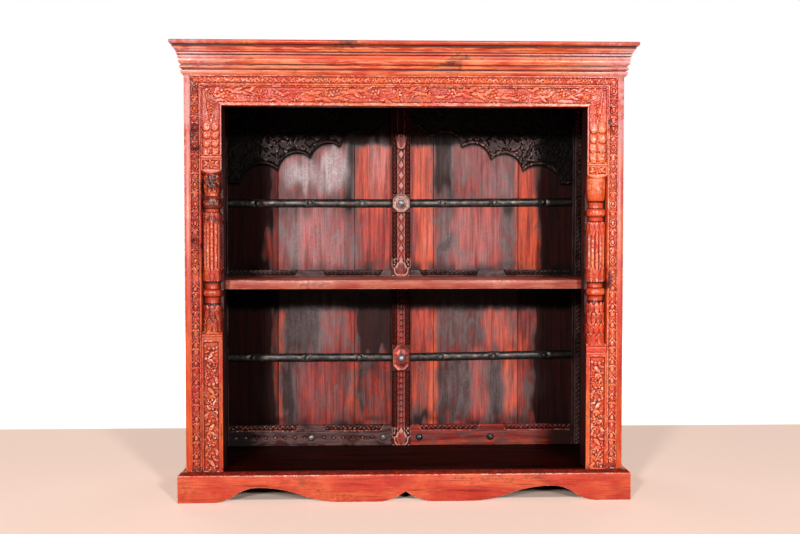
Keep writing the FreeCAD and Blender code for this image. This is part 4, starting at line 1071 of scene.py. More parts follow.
def flat_relief(at, seed):
    """The carving on the square ends of a post. u runs from -27 at the opening to 27 outside."""
    dice = rng_of(seed)
    relief = Relief((-POST_HALF, POST_HALF), (FLOOR_Z, HEAD_RAIL_TOP_Z))
    line_low, line_high = at["upper_line"]
    relief.sink((-22.0, 24.0), (line_high + 3.5, 1079), 3.4, 1.0)
    relief.fill((-21, 23), (line_high + 5, 1077), 480, 5.5, -2.3, dice)
    scale_tiers(relief, line_high + 3, PENDANT_Z + 2, dice)
    pendant(relief)
    cap_top = at["capital"][1] + 14
    relief.sink((-22.5, 22.5), (cap_top - 2, line_low - 3.5), 3.0, 2.0)
    middle = (cap_top + line_low) / 2 - 1
    relief.flower(1, middle, 11.5, 6, 0, 0.3)
    for side in (-1, 1):
        for turn in (0.6, -0.6):
            angle = turn if side > 0 else math.pi - turn
            relief.leaf(side * 9, middle, 14, 8, angle, bow=0.15 * side)
    panel_top = at["lower_panel"]
    relief.sink((-16.5, 23.0), (FLOOR_Z + 3, panel_top - 4), 4.2, 3.0)
    relief.fill((-15, 22), (FLOOR_Z + 6, panel_top - 30), 150, 11, -2.7, dice)
    z = panel_top - 22
    mirror = 1
    while z > FLOOR_Z - 30:
        vine_unit(relief, z, mirror, dice)
        z -= VINE_PITCH + dice.uniform(-2, 2)
        mirror = -mirror
    relief.height[relief.v < FLOOR_Z + 3] = 0
    lip = np.ix_(relief.v < panel_top, relief.u < -17.5)
    relief.height[lip] = 0
    for z in (*at["line"], *at["upper_line"]):
        relief.groove([(-POST_HALF, z), (POST_HALF, z)], 2.6, 1.8)
    relief.settle(dark=0.78)
    tier_z = 970.0
    for side, top in PENDANT_TOPS:
        for share in np.linspace(0, 1, 10):
            v = PENDANT_Z + 2 + (top - PENDANT_Z - 4) * share
            relief.rub(side * (0.5 + 12 * share), v, 1.6, 6, 0.8, 2.0)
        u = TIER_MIDDLE + side * TIER_REACH
        relief.rub(u, tier_z + 9, 8.5, 10, 1.0, 2.0)
        for tier in (1, 2, 3):
            relief.rub(u, tier_z + 4 - 21 * tier, 6.5, 6.5, 0.55, 2.0)
    return relief


def post(side, word, at, smooth_capital, soil, look, seed):
    """One post as a closed skin: square and carved at its ends, turned between them.

    Each row is a path from the outer flank over the face to the inner one. The radius of its points
    is the turning's, as far as the square lets it.
    """
    flat = flat_relief(at, seed)
    turned = turned_relief(at, smooth_capital, seed + 1)
    flank = steps(0, POST_HALF, 2.2)[:-1]
    face = np.linspace(POST_HALF, -POST_HALF, 58)
    full = np.full(len(flank), POST_HALF)
    plan_x = np.concatenate([full, face, -full])
    plan_y = np.concatenate([-flank, np.full(len(face), -POST_HALF), -flank[::-1]])
    angle = np.arctan2(-plan_y, plan_x)
    square = np.hypot(plan_x, plan_y)

    levels = np.concatenate([steps(FLOOR_Z, POST_BEND_Z, 1.05),
                             POST_BEND_Z + steps(1.05, 110.0, 1.05)])
    rail = HEAD_RAIL_TOP_Z - OPENING_TOP_Z
    mitre = OPENING_TOP_Z + (plan_x[None, :] + POST_HALF) * rail / (2 * POST_HALF)
    z = fanned(levels, POST_BEND_Z, mitre)
    plan_u = plan_x + 0 * z
    round_u = (UP - angle) * POST_HALF + 0 * z
    flat_out, flat_marks = flat.at(plan_u, z)
    round_out, round_marks = turned.at(round_u, z)

    profile = turning_profile(at, smooth_capital)
    base = np.interp(z, profile[:, 0], profile[:, 1])
    radius = base + round_out + 0.2 * lattice_noise(round_u, z, 15, 22, seed + 2)
    is_flat = radius > square - 0.25
    radius = np.where(z < at["bulb"][0] + 30, radius, np.minimum(radius, POST_HALF - 0.3))
    radius = np.where(z > at["capital"][1] - 12, np.maximum(radius, base), radius)
    radius = np.minimum(radius, square)
    on_face = is_flat & (plan_y == -POST_HALF)
    edge = POST_HALF - np.abs(plan_u)
    carved = flat_out + 0.25 * lattice_noise(plan_u, z, 25, 60, seed + 3) - 0.25
    out = radius * np.sin(angle) + np.where(on_face, carved - eased_edge(edge, 1.2), 0)

    marks = Marks({key: np.where(on_face, flat_marks[key], round_marks[key]) for key in flat_marks})
    marks["hollow"] = np.where(base < NECK_LIMIT, 0.25, marks["hollow"])
    marks.darken(1.1 * np.clip(1.7 - np.abs(base - 21.4) / 0.65, 0, 1) * (round_out < 0.5))
    is_turned = base < TURNED_LIMIT
    blotch = 0.4 * (lattice_noise(round_u, z, 9, 11, seed + 4)
                    + lattice_noise(round_u, z, 3.5, 4.5, seed + 6))
    for key, (amount, even) in soil.items():
        low, high = at[key]
        near = smooth(1.3 - np.abs(z - (low + high) / 2) / (high - low) * 1.6)
        marks.darken(amount * near * np.clip(even + blotch, 0, 1) * is_turned)
    lean = np.where(round_u < 0, 9 if side < 0 else 0, 0)
    shaded_side = smooth((np.abs(round_u) + lean - 24) / 14) * is_turned
    marks.darken(0.8 * shaded_side)
    marks.darken(smooth((104 - z) / 26) * (0.7 + 0.5 * lattice_noise(plan_u, z, 9, 9, seed + 8)))
    marks.rub(0.5 * np.clip((base - 25.2) / 1.3, 0, 1) * (base < 27))
    marks["crest"] *= 1 - shaded_side
    marks["crest"] *= np.where(on_face & ((plan_u < -15.5) | (plan_u > 22)), 0.45, 1)
    marks.rub(np.where(on_face & (edge < 2.5), 0.35, 0))
    flank_shade = smooth((plan_y + POST_HALF - 1.0) / 5) * is_flat
    marks.darken(1.3 * flank_shade)
    marks["crest"] *= 1 - flank_shade

    # Two dark columns more on each side, where the flanks run straight back
    once = ((0, 0), (1, 1))
    twice = ((0, 0), (2, 2))
    flanks = ((side * POST_OUTER_X, side * (POST_X - POST_HALF)),)
    x = np.pad(side * (POST_X + radius * np.cos(angle)), twice, constant_values=flanks)
    y = np.pad(TURNING_Y - out, once, constant_values=TURNING_Y + 0.9)
    y = np.pad(y, once, constant_values=POST_BACK_Y)
    marks = {"hollow": np.pad(marks["hollow"], twice, constant_values=1.3),
             "crest": np.pad(marks["crest"], twice)}
    forms("post_" + word + "_carved", [((x, y, np.pad(z, twice, mode="edge")), marks)], look)


# Cornice
def arc(start, end, sag, count=8):
    """Points from start to end on a curve that bows by sag to the right of the way."""
    run = end[0] - start[0]
    rise = end[1] - start[1]
    length = math.hypot(run, rise)
    points = []
    for t in np.linspace(0, 1, count):
        bow = 4 * sag * t * (1 - t) / length
        points.append((start[0] + run * t + bow * rise, start[1] + rise * t - bow * run))
    return points


# Stretches of each course: (projection, height) points, soot and rubbing. Under the top board the
# soot is painted shade, and the rubbing is partly painted highlight.
LOWER_COURSE = (
    ([(0, 1113), (2, 1113)], 0.6, 0.0), (arc((2, 1113.4), (7.2, 1125), 2.0), 0.0, 0.45),
    ([(7.4, 1125.7), (4.0, 1126.1), (3.8, 1128.2)], 1.25, 0.0),
    (arc((5.4, 1128.7), (6.9, 1138.3), 3.9), 0.0, 0.5), ([(4.6, 1138.7), (4.6, 1140.7)], 1.3, 0.0),
    (arc((8.8, 1141.2), (12.6, 1153.0), 1.5), 0.0, 0.6),
    (arc((12.9, 1154.4), (13.8, 1162.4), 0.6, 5), 0.1, 0.1), ([(12.4, 1163), (0, 1163)], 1.0, 0.0),
)
UPPER_COURSE = (
    ([(0, 1163), (12.6, 1163), (12.6, 1164.7)], 1.2, 0.0),
    ([(16.8, 1165.1), (17.5, 1165.8), (17.5, 1169.1)], 0.0, 0.15),
    ([(15.2, 1169.7), (15.2, 1171.4)], 1.25, 0.0),
    (arc((18.7, 1172.3), (22.0, 1178.0), -1.0, 5), 0.0, 0.4),
    (arc((22.5, 1178.8), (27.2, 1183.8), -1.2, 6), 0.0, 0.75),
    ([(27.8, 1184.2), (25.0, 1184.8), (24.8, 1187.6), (24.8, 1188), (0, 1188)], 1.3, 0.0),
)


def moulding(name, course, side, look, seed):
    """A run of moulding, mitred at the body's front corners. side 0 is the front."""
    # soot is painted shade under the top board, and shine is partly painted highlight.
    out, level, soot, shine = np.array([(*point, *values) for points, *values in course
                                        for point in points]).T
    station = (np.linspace(0, 1, 61) if side else np.linspace(-1, 1, 161))[:, None]
    depth = REAR_Y - FRONT_Y
    run = station * (depth if side else BODY_HALF)
    reach = out + 0.35 * (lattice_noise(run, level, 45, 12, seed) - 1) * (out > 3)
    x = (side or station) * (BODY_HALF + reach)
    y = FRONT_Y - reach + (station * (depth + reach) if side else 0)
    patchy = 0.8 + 0.35 * lattice_noise(run, 0, 70, 9, seed + 7) - 0.12 * station
    marks = {"hollow": soot * np.clip(patchy, 0.3, 1.2),
             "crest": shine * np.clip(1.0 - 0.3 * station, 0, 1.3)}
    forms(name + "_worn", [((x, y, level), marks)], look, crease=35)


# Back of old door leaves
# Where old paint stays (over 0) or is worn off (under 0), and where orange wood shows:
# x, z, half width, half height, paint, orange
# The rows at x -450 and 476 black out the outer strips: painted shade.
PATCHES = (
    (-450, 560, 72, 700, 1.3, 0.0), (-384, 655, 12, 46, -1.3, 0.1), (476, 560, 72, 700, 1.1, 0.0),
    (-255, 880, 100, 110, 0.35, 0.0), (-80, 900, 46, 130, -0.6, 0.5),
    (-143, 900, 10, 110, 0.8, 0.0), (-140, 690, 22, 110, 0.5, 0.0),
    (-75, 690, 45, 90, -0.4, 0.1), (-60, 604, 55, 26, 0.5, 0.0),
    (-330, 700, 26, 100, 0.3, 0.0), (-225, 650, 70, 70, -0.2, 0.0), (60, 900, 28, 110, -0.6, 0.7),
    (118, 900, 28, 90, 0.9, 0.0), (215, 860, 70, 70, 0.15, 0.0), (372, 850, 34, 70, -0.5, 0.45),
    (320, 860, 20, 90, 0.4, 0.0), (75, 690, 24, 100, -0.5, 0.9), (124, 690, 20, 100, 0.6, 0.0),
    (160, 668, 44, 14, 0.6, 0.0), (225, 690, 60, 95, -0.4, 0.1), (318, 690, 18, 100, 0.6, 0.0),
    (372, 690, 34, 110, -0.6, 0.75), (-370, 400, 12, 70, -0.4, 0.8), (-290, 430, 50, 70, 0.6, 0.0),
    (-200, 420, 60, 70, -0.1, 0.1), (-72, 440, 46, 80, 1.0, 0.0), (-424, 265, 18, 50, -0.7, 0.0),
    (-367, 240, 14, 90, -0.5, 0.6), (-325, 250, 26, 80, 0.6, 0.0), (-250, 230, 60, 90, -0.4, 0.0),
    (-146, 250, 9, 80, -0.5, 0.9), (-110, 260, 24, 70, 0.35, 0.0), (-60, 200, 40, 70, -0.4, 0.1),
    (55, 430, 32, 90, -0.5, 0.25), (92, 330, 8, 230, -0.6, 0.9), (170, 430, 70, 70, 0.4, 0.0),
    (280, 440, 28, 70, -0.5, 0.45), (342, 390, 34, 26, -0.4, 0.8), (60, 260, 30, 70, -0.4, 0.5),
    (58, 175, 26, 26, 0.8, 0.0), (155, 250, 50, 90, 0.5, 0.0), (233, 250, 22, 90, -0.4, 0.2),
    (278, 240, 24, 90, 0.6, 0.0), (325, 250, 15, 90, -0.7, 1.0), (362, 250, 20, 90, -0.4, 0.2),
    (400, 250, 26, 90, 0.6, 0.0),
)
# Where a sheen is painted for the lamps' reflection in the old wax: x, z, half width, half height,
# amount
PAINTED_SHEEN = (
    (-196, 900, 44, 62, 0.72), (-288, 876, 58, 44, 0.58), (-242, 880, 92, 62, 0.42),
    (-240, 690, 130, 95, 0.26), (-66, 890, 34, 84, 0.24), (170, 905, 60, 55, 0.10),
    (290, 850, 50, 50, 0.14), (200, 690, 150, 95, 0.16), (-250, 430, 110, 80, 0.14),
    (-250, 240, 150, 95, 0.06), (230, 245, 170, 95, 0.11), (220, 430, 170, 80, 0.08),
)
PLANKS = (("left_outer", PAINT_SHADED_FAR_LEFT), ("left_middle", PAINT_LEFT),
          ("left_inner", PAINT_LEFT), ("right_inner", PAINT_RIGHT),
          ("right_middle", PAINT_RIGHT), ("right_outer", PAINT_SHADED_FAR_RIGHT))


def wear_marks(x, z, seed):
    """How much paint and orange shows at places on the back, and how much reflection is painted as
    sheen.
    """
    bent_x = x + 8 * lattice_noise(x, z, 28, 90, seed) + 5 * lattice_noise(x, z, 9, 40, seed + 2)
    bent_z = z + 34 * lattice_noise(x, z, 14, 70, seed + 1)
    paint = np.where(x < 0, 0.38, 0.22) * smooth((SHELF_Z - z) / 40)
    orange = 0 * x
    for place_x, place_z, half_x, half_z, amount, warm in PATCHES:
        across = np.maximum(np.abs(bent_x - place_x) - half_x + 8, 0) / 24
        up = np.maximum(np.abs(bent_z - place_z) - half_z + 24, 0) / 60
        share = smooth(1 - np.hypot(across, up))
        paint = paint + amount * share
        orange = np.maximum(orange, warm * share)
    painted_sheen = 0 * x
    for place_x, place_z, half_x, half_z, amount in PAINTED_SHEEN:
        reach = np.hypot((bent_x - place_x) / half_x, (bent_z - place_z) / half_z)
        painted_sheen = np.maximum(painted_sheen, amount * smooth(1.35 - reach))
    return {"paint": 0.5 + 0.5 * np.clip(paint, -1, 1), "orange": orange, "painted_sheen": painted_sheen}


def painted_shade_under_boards(x, z, start=968, depth=24):
    """Painted shade under the ceiling and under the shelf, where the boards above cast their
    shadow.
    """
    uneven = z + 5 * lattice_noise(x, z, 24, 50, 500) + 2.5 * lattice_noise(x, z, 7, 15, 501)
    return np.maximum(smooth((uneven - start) / depth), smooth((uneven - 460) / 36) * (z < SHELF_Z))


def planks():
    """Weathered planks: ridged grain, a little cupping and worn edges."""
    for i, ((name, look), low, high) in enumerate(zip(PLANKS, PLANK_EDGES, PLANK_EDGES[1:])):
        x, z = np.meshgrid(steps(low, high, 2.2), steps(20, TOP_BOARD_Z, 6.0))
        edge = np.minimum(x - low, high - x)
        grain = lattice_noise(x, z, 3.1, 160, 60 + i) + 0.6 * lattice_noise(x, z, 7.5, 240, 70 + i)
        cup = 0.5 * lattice_noise(x, z, 120, 500, 80 + i)
        y = PLANK_Y + np.maximum(1.1 + 0.28 * grain + cup + eased_edge(edge, 1.2), 0.02)
        seam = 0.7 * np.clip(1 - edge / 2.6, 0, 1)
        cusp = np.interp(np.abs(x), *np.array(SPANDREL_EDGE).T)
        shadow_below_arch = 0.9 * smooth(1 - (cusp - z) / 15) * (np.abs(x) < LEAF_STILE_X)
        above_rail = np.where(z > SHELF_Z, z - SHELF_TOP_Z - 18, z - FLOOR_Z - 60)
        dust = smooth(1 - above_rail / 50) * (0.42 + 0.35 * lattice_noise(x, z, 24, 20, 90))
        # Besides seams and dust, the hollow mark holds painted shade: under the boards above, and
        # under the arch cusps.
        marks = {"hollow": np.maximum.reduce([seam, painted_shade_under_boards(x, z, 942, 36), shadow_below_arch, dust]),
                 "crest": 0.6 * np.clip(-grain - 0.9, 0, 1), **wear_marks(x, z, 400)}
        slab("back_plank_" + name + "_worn", (x, y, z), PLANK_BACK_Y, look, marks)


def zigzag(relief, middle, start, end, swing, pitch, width, top, upright=True):
    """A zigzag ridge from start to end about a middle line, with beads beside it."""
    count = int((end - start) / pitch * 2)

    def place(shift, step):
        spot = (middle + shift, start + (end - start) * step / count)
        return spot if upright else spot[::-1]
    relief.stroke([place(swing if i % 2 else -swing, i) for i in range(count + 1)], width, top)
    for i in range(0, count, 2):
        relief.dome(*place(0.75 * (swing if i % 4 else -swing), i + 0.5), 1.8, top=top - 0.6)


def lotus(relief, foot, height, top):
    """A pointed bud with petals, as wide as the stile."""
    relief.dome(0, foot + height * 0.38, 19, height * 0.42, top=top, power=0.4)
    relief.leaf(0, foot + height * 0.2, height * 0.86, 20, UP, top, vein=0.2)
    relief.pair(0, foot + 2, 3, height * 0.78, 17, 0.42, top - 0.6, 0.25, 0.9)
    relief.pair(0, foot + 1, 6, height * 0.55, 13, 0.85, top - 1.2, 0.3, 0.9)
    relief.groove([(-20, foot + 1.5), (20, foot + 1.5)], 2.0, 1.2)
    relief.ring_cut(0, foot + height * 0.36, 6.5, 1.6, 1.2)


def tulip(relief, tip, height, top):
    """A flower that opens upwards from a point."""
    relief.pair(0, tip, 0, height, 19, 0.40, top, 0.25, 0.8)
    relief.pair(0, tip + 12, 4, height * 0.8, 11, 0.62, top - 1.0, 0.3, 0.5)
    relief.leaf(0, tip + 10, height * 0.8, 9, UP, top - 0.6, vein=1.2)


LEAF_BACK_Y = PLANK_Y + 0.5
RAIL_BAND = 17
STILE_LOZENGES = 933.0 - 30.4 * np.arange(12)
UPPER_PLAIN = (764, 818)
LOWER_PLAIN = (299, 377)
LOTUS_HEIGHT = 50


def centre_stile():
    """Lozenges above and a leaf chain below, between zigzags, with buds and two plain stretches."""
    relief = Relief((-STILE_HALF, STILE_HALF), (FLOOR_Z, CEILING_Z))
    full = (FLOOR_Z - 5, CEILING_Z + 5)
    relief.sink((-11, 11), full, 1.6)
    for z in STILE_LOZENGES:
        relief.lozenge(0, z, 8.6, 14.0, 3.4)
        relief.pair(0, z + 3, 9.6, 15, 5.0, -0.35, -0.5, vein=0.3)
    for z in steps(FLOOR_Z + 50, SHELF_Z - 20, 17):
        relief.leaf(0, z, 15, 7.5, UP, 1.6, vein=0.8)
        relief.pair(0, z, 1.5, 11, 5.5, 0.9, 0.2, 0.2)
    for side in (-1, 1):
        relief.sink(sorted((side * 11.0, side * 25.5)), full, 5.0)
        zigzag(relief, side * 17.4, FLOOR_Z, CEILING_Z, 3.2, 14.2, 2.2, -2.6)
        for z in steps(FLOOR_Z + 7, CEILING_Z, 14.2):
            relief.dome(side * 20.4, z, 2.8, 3.8, top=-0.2)
    width = (-STILE_HALF, STILE_HALF)
    for start in (FLOOR_Z, SHELF_TOP_Z):
        relief.sink(width, (start, start + STILE_HALF), 0.0)
        lotus(relief, start, LOTUS_HEIGHT, 4.6)
    tulip(relief, 948, 44, 4.6)
    for plain in (UPPER_PLAIN, LOWER_PLAIN):
        relief.sink(width, plain, 0.0)
    relief.settle()
    level = relief.v[:, None]
    flank = smooth((np.abs(relief.u) - 10) / 2)
    above_board = level % (SHELF_TOP_Z - FLOOR_Z) - FLOOR_Z
    in_lotus = (above_board > 0) & (above_board < LOTUS_HEIGHT + 4)
    worn = np.where(level > SHELF_Z, 0.6, 0.4) * (1 - 0.5 * flank)
    relief.crest *= np.where(in_lotus, 1.0, worn)
    for i, z in enumerate(STILE_LOZENGES[:10]):
        if not UPPER_PLAIN[0] < z < UPPER_PLAIN[1]:
            relief.rub(0, z, 8.6, 13.5, 1.0 if i < 5 else 0.6)
    # The flanks are darker, and the top under the ceiling is darkened as painted shade.
    soot = np.maximum(0.55 * flank, painted_shade_under_boards(0 * level, level, 974, 20))
    relief.hollow = np.maximum(relief.hollow, soot)
    x, z = np.meshgrid(steps(*width, 0.95), steps(FLOOR_Z, CEILING_Z, 1.05))
    out, marks = relief.at(x, z)
    y = STILE_Y - out - 0.2 * (lattice_noise(x, z, 20, 40, 91) - 1)
    y = y + eased_edge(STILE_HALF - np.abs(x), 1.2)
    slab("centre_stile_carved", (x, y, z), LEAF_BACK_Y, PAINT_CARVED, marks)


def leaf_stile(side, word):
    middle = LEAF_STILE_X + 10.5
    relief = Relief((LEAF_STILE_X, LEAF_OUTER_X), (FLOOR_Z, CEILING_Z))
    relief.sink((LEAF_STILE_X + 3, LEAF_OUTER_X - 3), (FLOOR_Z, CEILING_Z), 3.4)
    relief.stroke([(middle, FLOOR_Z), (middle, CEILING_Z)], 2.4, -0.6)
    zigzag(relief, middle + 8, FLOOR_Z, CEILING_Z, 4.6, 13, 3.0, -0.6)
    relief.settle()
    u, z = np.meshgrid(steps(LEAF_STILE_X, LEAF_OUTER_X, 1.0), steps(FLOOR_Z, CEILING_Z, 1.3))
    out, marks = relief.at(u, z)
    slab("leaf_stile_" + word + "_carved", (side * u, LEAF_Y - out + 0.2, z), LEAF_BACK_Y,
         PAINT_SHADED_EDGE, marks)


def leaf_rail(name, low, high, side, bosses, look, rubbing):
    """A rail with blank tapered tabs and a carved border between them."""
    relief = Relief((STILE_HALF, LEAF_STILE_X), (low, high))
    band = high - RAIL_BAND
    ends = (STILE_HALF, LEAF_STILE_X)
    relief.sink((STILE_HALF - 5, LEAF_STILE_X + 5), (band, high + 5), 5.0)
    zigzag(relief, band + 9.5, *ends, 4.8, 13.5, 3.2, -1.6, upright=False)
    relief.stroke([(u, band + 1.4) for u in ends], 2.6, -0.6)
    half = 46 - 10 * (relief.v[:, None] - band) / RAIL_BAND
    for share in (-0.02, 0.50):
        middle = STILE_HALF + RAIL_LENGTH * share
        tab = (np.abs(relief.u - middle) < half) & (relief.v[:, None] >= band)
        relief.height[tab] = 0
        for turn in (-1, 1):
            relief.groove([(middle + turn * 44, band + 1), (middle + turn * 35, high)], 2.0, 1.0)
    if bosses:
        relief.ground = 0.0
        for u in steps(STILE_HALF + 58, LEAF_STILE_X - 22, 28):
            if abs(u - STILE_HALF - RAIL_LENGTH * 0.495) > 20:
                relief.ring_cut(u, low + 23, 5.6, 2.6, 1.8)
                relief.dome(u, low + 23, 3.4, 4.6, top=1.3)
    relief.groove([(u, band - 3.5) for u in ends], 1.8, 0.8)
    relief.settle()
    u, z = np.meshgrid(steps(*ends, 1.05), steps(low, high, 1.0))
    out, marks = relief.at(u, z)
    out = out + 0.2 * lattice_noise(u, z, 60, 12, 95) - 0.2 - eased_edge(high - z, 1.0)
    marks["crest"] *= rubbing
    # Darker towards the outer end, which is painted shade.
    marks.darken(0.8 * smooth((u - 400) / 60))
    slab(name + "_carved", (side * u, LEAF_Y - out, z), LEAF_BACK_Y, look, marks)


# Cusped arch boards. Points are shares of the rail's length and of the drop below the ceiling
SPANDREL_DROP = 245.0
TIPS = ((0.930, 0.005), (0.693, 0.160), (0.496, 0.297), (0.317, 0.433), (0.136, 0.560))
PEAKS = ((0.812, 0.230), (0.592, 0.362), (0.405, 0.478), (0.226, 0.615))
OGEE = ((0.075, 0.640), (0.0, 0.790))


def arch_place(share):
    return STILE_HALF + RAIL_LENGTH * share[0], CEILING_Z - SPANDREL_DROP * (1 - share[1])


def through(a, b, c, count=18):
    """Points on the circle through a, b and c, from a to c."""
    ax, ay, bx, by, cx, cy = *a, *b, *c
    d = 2 * (ax * (by - cy) + bx * (cy - ay) + cx * (ay - by))
    a2, b2, c2 = ax ** 2 + ay ** 2, bx ** 2 + by ** 2, cx ** 2 + cy ** 2
    ux = (a2 * (by - cy) + b2 * (cy - ay) + c2 * (ay - by)) / d
    uy = (a2 * (cx - bx) + b2 * (ax - cx) + c2 * (bx - ax)) / d
    first = math.atan2(ay - uy, ax - ux)
    mid = (math.atan2(by - uy, bx - ux) - first) % FULL_TURN
    last = (math.atan2(cy - uy, cx - ux) - first) % FULL_TURN
    if mid > last:
        last -= FULL_TURN
    radius = math.hypot(ax - ux, ay - uy)
    return [(ux + radius * math.cos(first + last * t), uy + radius * math.sin(first + last * t))
            for t in np.linspace(0, 1, count)]


def spandrel_edge():
    """Points of the cusped lower edge, from the meeting stile outwards."""
    tips = [arch_place(tip) for tip in TIPS]
    points = [(LEAF_STILE_X, tips[0][1]), tips[0]]
    for peak, start, end in zip(PEAKS, tips, tips[1:]):
        points += through(start, arch_place(peak), end)[1:]
    points += through(tips[-1], arch_place(OGEE[0]), arch_place(OGEE[1]))[1:]
    return points[::-1]


SPANDREL_EDGE = spandrel_edge()


def spandrel_relief(seed):
    """Dense leafwork over a raised rim that follows the cusps."""
    dice = rng_of(seed)
    width = (STILE_HALF, LEAF_STILE_X)
    foot = CEILING_Z - SPANDREL_DROP
    relief = Relief(width, (foot - 2, CEILING_Z), -5.0)
    centres = [arch_place(peak) for peak in PEAKS]
    for u, v in centres:
        for i, turn in enumerate(np.linspace(0.25, math.pi - 0.25, 7)):
            relief.leaf(u + 14 * math.cos(turn), v + 10 + 8 * math.sin(turn), 30 + 6 * (i % 2), 13,
                        turn + dice.uniform(-0.1, 0.1), -0.3, dice.uniform(-0.25, 0.25), 1.3)
        relief.flower(u + 2, v + 21, 13, 7, 0.0, dice.uniform(0, 1))
    for u, v in map(arch_place, TIPS):
        relief.pair(u, v + 12, 0, 44, 15, -0.35, -0.3, 0.3, 1.4)
        relief.dome(u, v + 24, 6, 8)
        relief.curl(u + 6, v + 62, 11, dice.uniform(0, 6), 1.2, 4.0, -0.2)
    for _ in range(420):
        u = dice.uniform(*width)
        v = dice.uniform(foot, CEILING_Z)
        if min(math.hypot(u - a, v - b - 18) for a, b in centres) < 26:
            continue
        if dice.random() < 0.3:
            relief.curl(u, v, dice.uniform(9, 13), dice.uniform(0, 6), 1.2, 4.4, -0.6)
        else:
            relief.leaf(u, v, dice.uniform(20, 34), dice.uniform(11, 16), dice.uniform(0.2, 2.9),
                        -0.8, bow=dice.uniform(-0.4, 0.4))
    relief.fill(width, (foot, CEILING_Z), 300, 15, -2.8, dice)
    relief.groove([(u, v + 8.8) for u, v in SPANDREL_EDGE], 3.4, 3.0)
    relief.stroke([(u, v + 3.6) for u, v in SPANDREL_EDGE], 8.0, 0.3, power=0.4)
    relief.groove([(u, v + 4.0) for u, v in SPANDREL_EDGE], 1.6, 0.8)
    return relief.settle()


def spandrel(side, word, look, rim_wear, seed):
    edge_u, edge_v = np.array(SPANDREL_EDGE).T
    columns = np.unique(np.concatenate([steps(STILE_HALF, LEAF_STILE_X, 1.2), edge_u]))
    bottom = np.interp(columns, edge_u, edge_v)
    share = np.concatenate([[0, 0.004, 0.010, 0.018], steps(0.027, 1, 0.0075)])[:, None]
    z = bottom + share * (CEILING_Z - bottom)
    u = np.broadcast_to(columns, z.shape)
    x = side * u
    out, marks = spandrel_relief(seed).at(u, z)
    y = PLANK_Y - 14 - (out - 0.3 - eased_edge(z - bottom, 1.6))
    # darkening is painted shade, under the ceiling and over the outer end, and the lowest 3 mm of
    # the rim is darkened as painted shade too.
    darkening = np.maximum(painted_shade_under_boards(x, z), 0.85 * smooth((u - 375) / 50))
    rim = smooth(1.6 - (z - bottom) / 9)
    marks["hollow"] = marks["hollow"] * (1 - 0.6 * rim)
    marks.darken(np.maximum(darkening, 0.9 * smooth(1 - (z - bottom) / 3)))
    marks["crest"] = np.maximum(marks["crest"] * (1 - rim), rim_wear * rim)
    marks["crest"] *= 1 - darkening * (1 - 0.6 * rim)
    if side < 0:
        marks.darken(0.55 * (1 - np.clip(2 * marks["crest"], 0, 1)))
    slab("arch_spandrel_" + word + "_carved", (x, y, z), PLANK_Y + 0.4, look, marks)


# Ironwork. Each bar: side, height, rise towards the outside, and its rivets' places along it
BARS = {
    "upper_left": (-1, UPPER_BAR_Z, 0, (0.18, 0.50, 0.82)),
    "upper_right": (1, UPPER_BAR_Z, 4, (0.20, 0.52, 0.82)),
    "lower_left": (-1, LOWER_BAR_Z, 0, (0.20, 0.52, 0.85)),
    "lower_right": (1, LOWER_BAR_Z, 7, (0.19, 0.515, 0.83)),
}


def iron_bars():
    """Half-round bars, hammered, and flattened at each rivet."""
    run = steps(0, RAIL_LENGTH, 3.5)[:, None]
    turn = np.linspace(0, math.pi, 15)
    for i, (name, (side, level, rise, shares)) in enumerate(BARS.items()):
        flat = smooth(1.6 - np.abs(run - np.array(shares) * RAIL_LENGTH) / 12).max(1, keepdims=True)
        beat = lattice_noise(run, turn * 8, 16, 7, 120 + i)
        fine = lattice_noise(run, turn * 8, 7, 4, 130 + i)
        half = 12.6 - 0.5 * np.abs(lattice_noise(run, 0, 30, 9, 140 + i)) + 0.3 * flat
        thick = (9.6 - 2.9 * flat) * (1 - 0.05 * np.abs(beat)) - 0.25 * np.abs(fine)
        dome = np.sin(turn) ** (0.85 - 0.25 * flat)
        z = level + rise * run / RAIL_LENGTH - half * np.cos(turn)
        y = PLANK_Y + 0.6 - np.minimum(thick * dome, 9.9 - 2.9 * flat)
        # Towards the outer end the hollow mark darkens the bars: painted shade.
        marks = {"crest": 3 * np.clip(dome - 0.75, 0, 1) * (0.6 + 0.4 * beat),
                 "hollow": np.maximum(2 * np.clip(0.3 - dome, 0, 1), smooth((run - 375) / 50))}
        places = (side * (STILE_HALF + run), y, z)
        forms("iron_bar_" + name + "_forged", [(places, marks)], IRON)


HEAD_RISE = np.array([0, 0, 0.25, 0.55, 0.8, 0.95, 1.0])
HEAD_REACH = np.array([1.0, 1.0, 0.98, 0.84, 0.62, 0.36, 0.12])


def hammered_head(x, z, seat_y, radius, height, seed, shine=0.8, soot=0.0):
    """A domed head with uneven facets, sunk 0.8 mm into its seat."""
    dice = rng_of(seed)
    turn = np.linspace(0, FULL_TURN, 28, endpoint=False)
    facets = 1 - 0.07 * np.abs(np.sin(turn * 3.5 + dice.uniform(0, 6))) - 0.03 * dice.random(28)
    rise = height * HEAD_RISE
    rise[0] = -0.8
    reach = radius * HEAD_REACH[:, None] * facets
    y = seat_y - rise[:, None] * (1 - 0.08 * np.sin(turn * 2 + dice.uniform(0, 6)))
    marks = {"crest": (shine * HEAD_RISE ** 2)[:, None], "hollow": soot}
    return (x + reach * np.cos(turn), y, z + reach * np.sin(turn)), marks


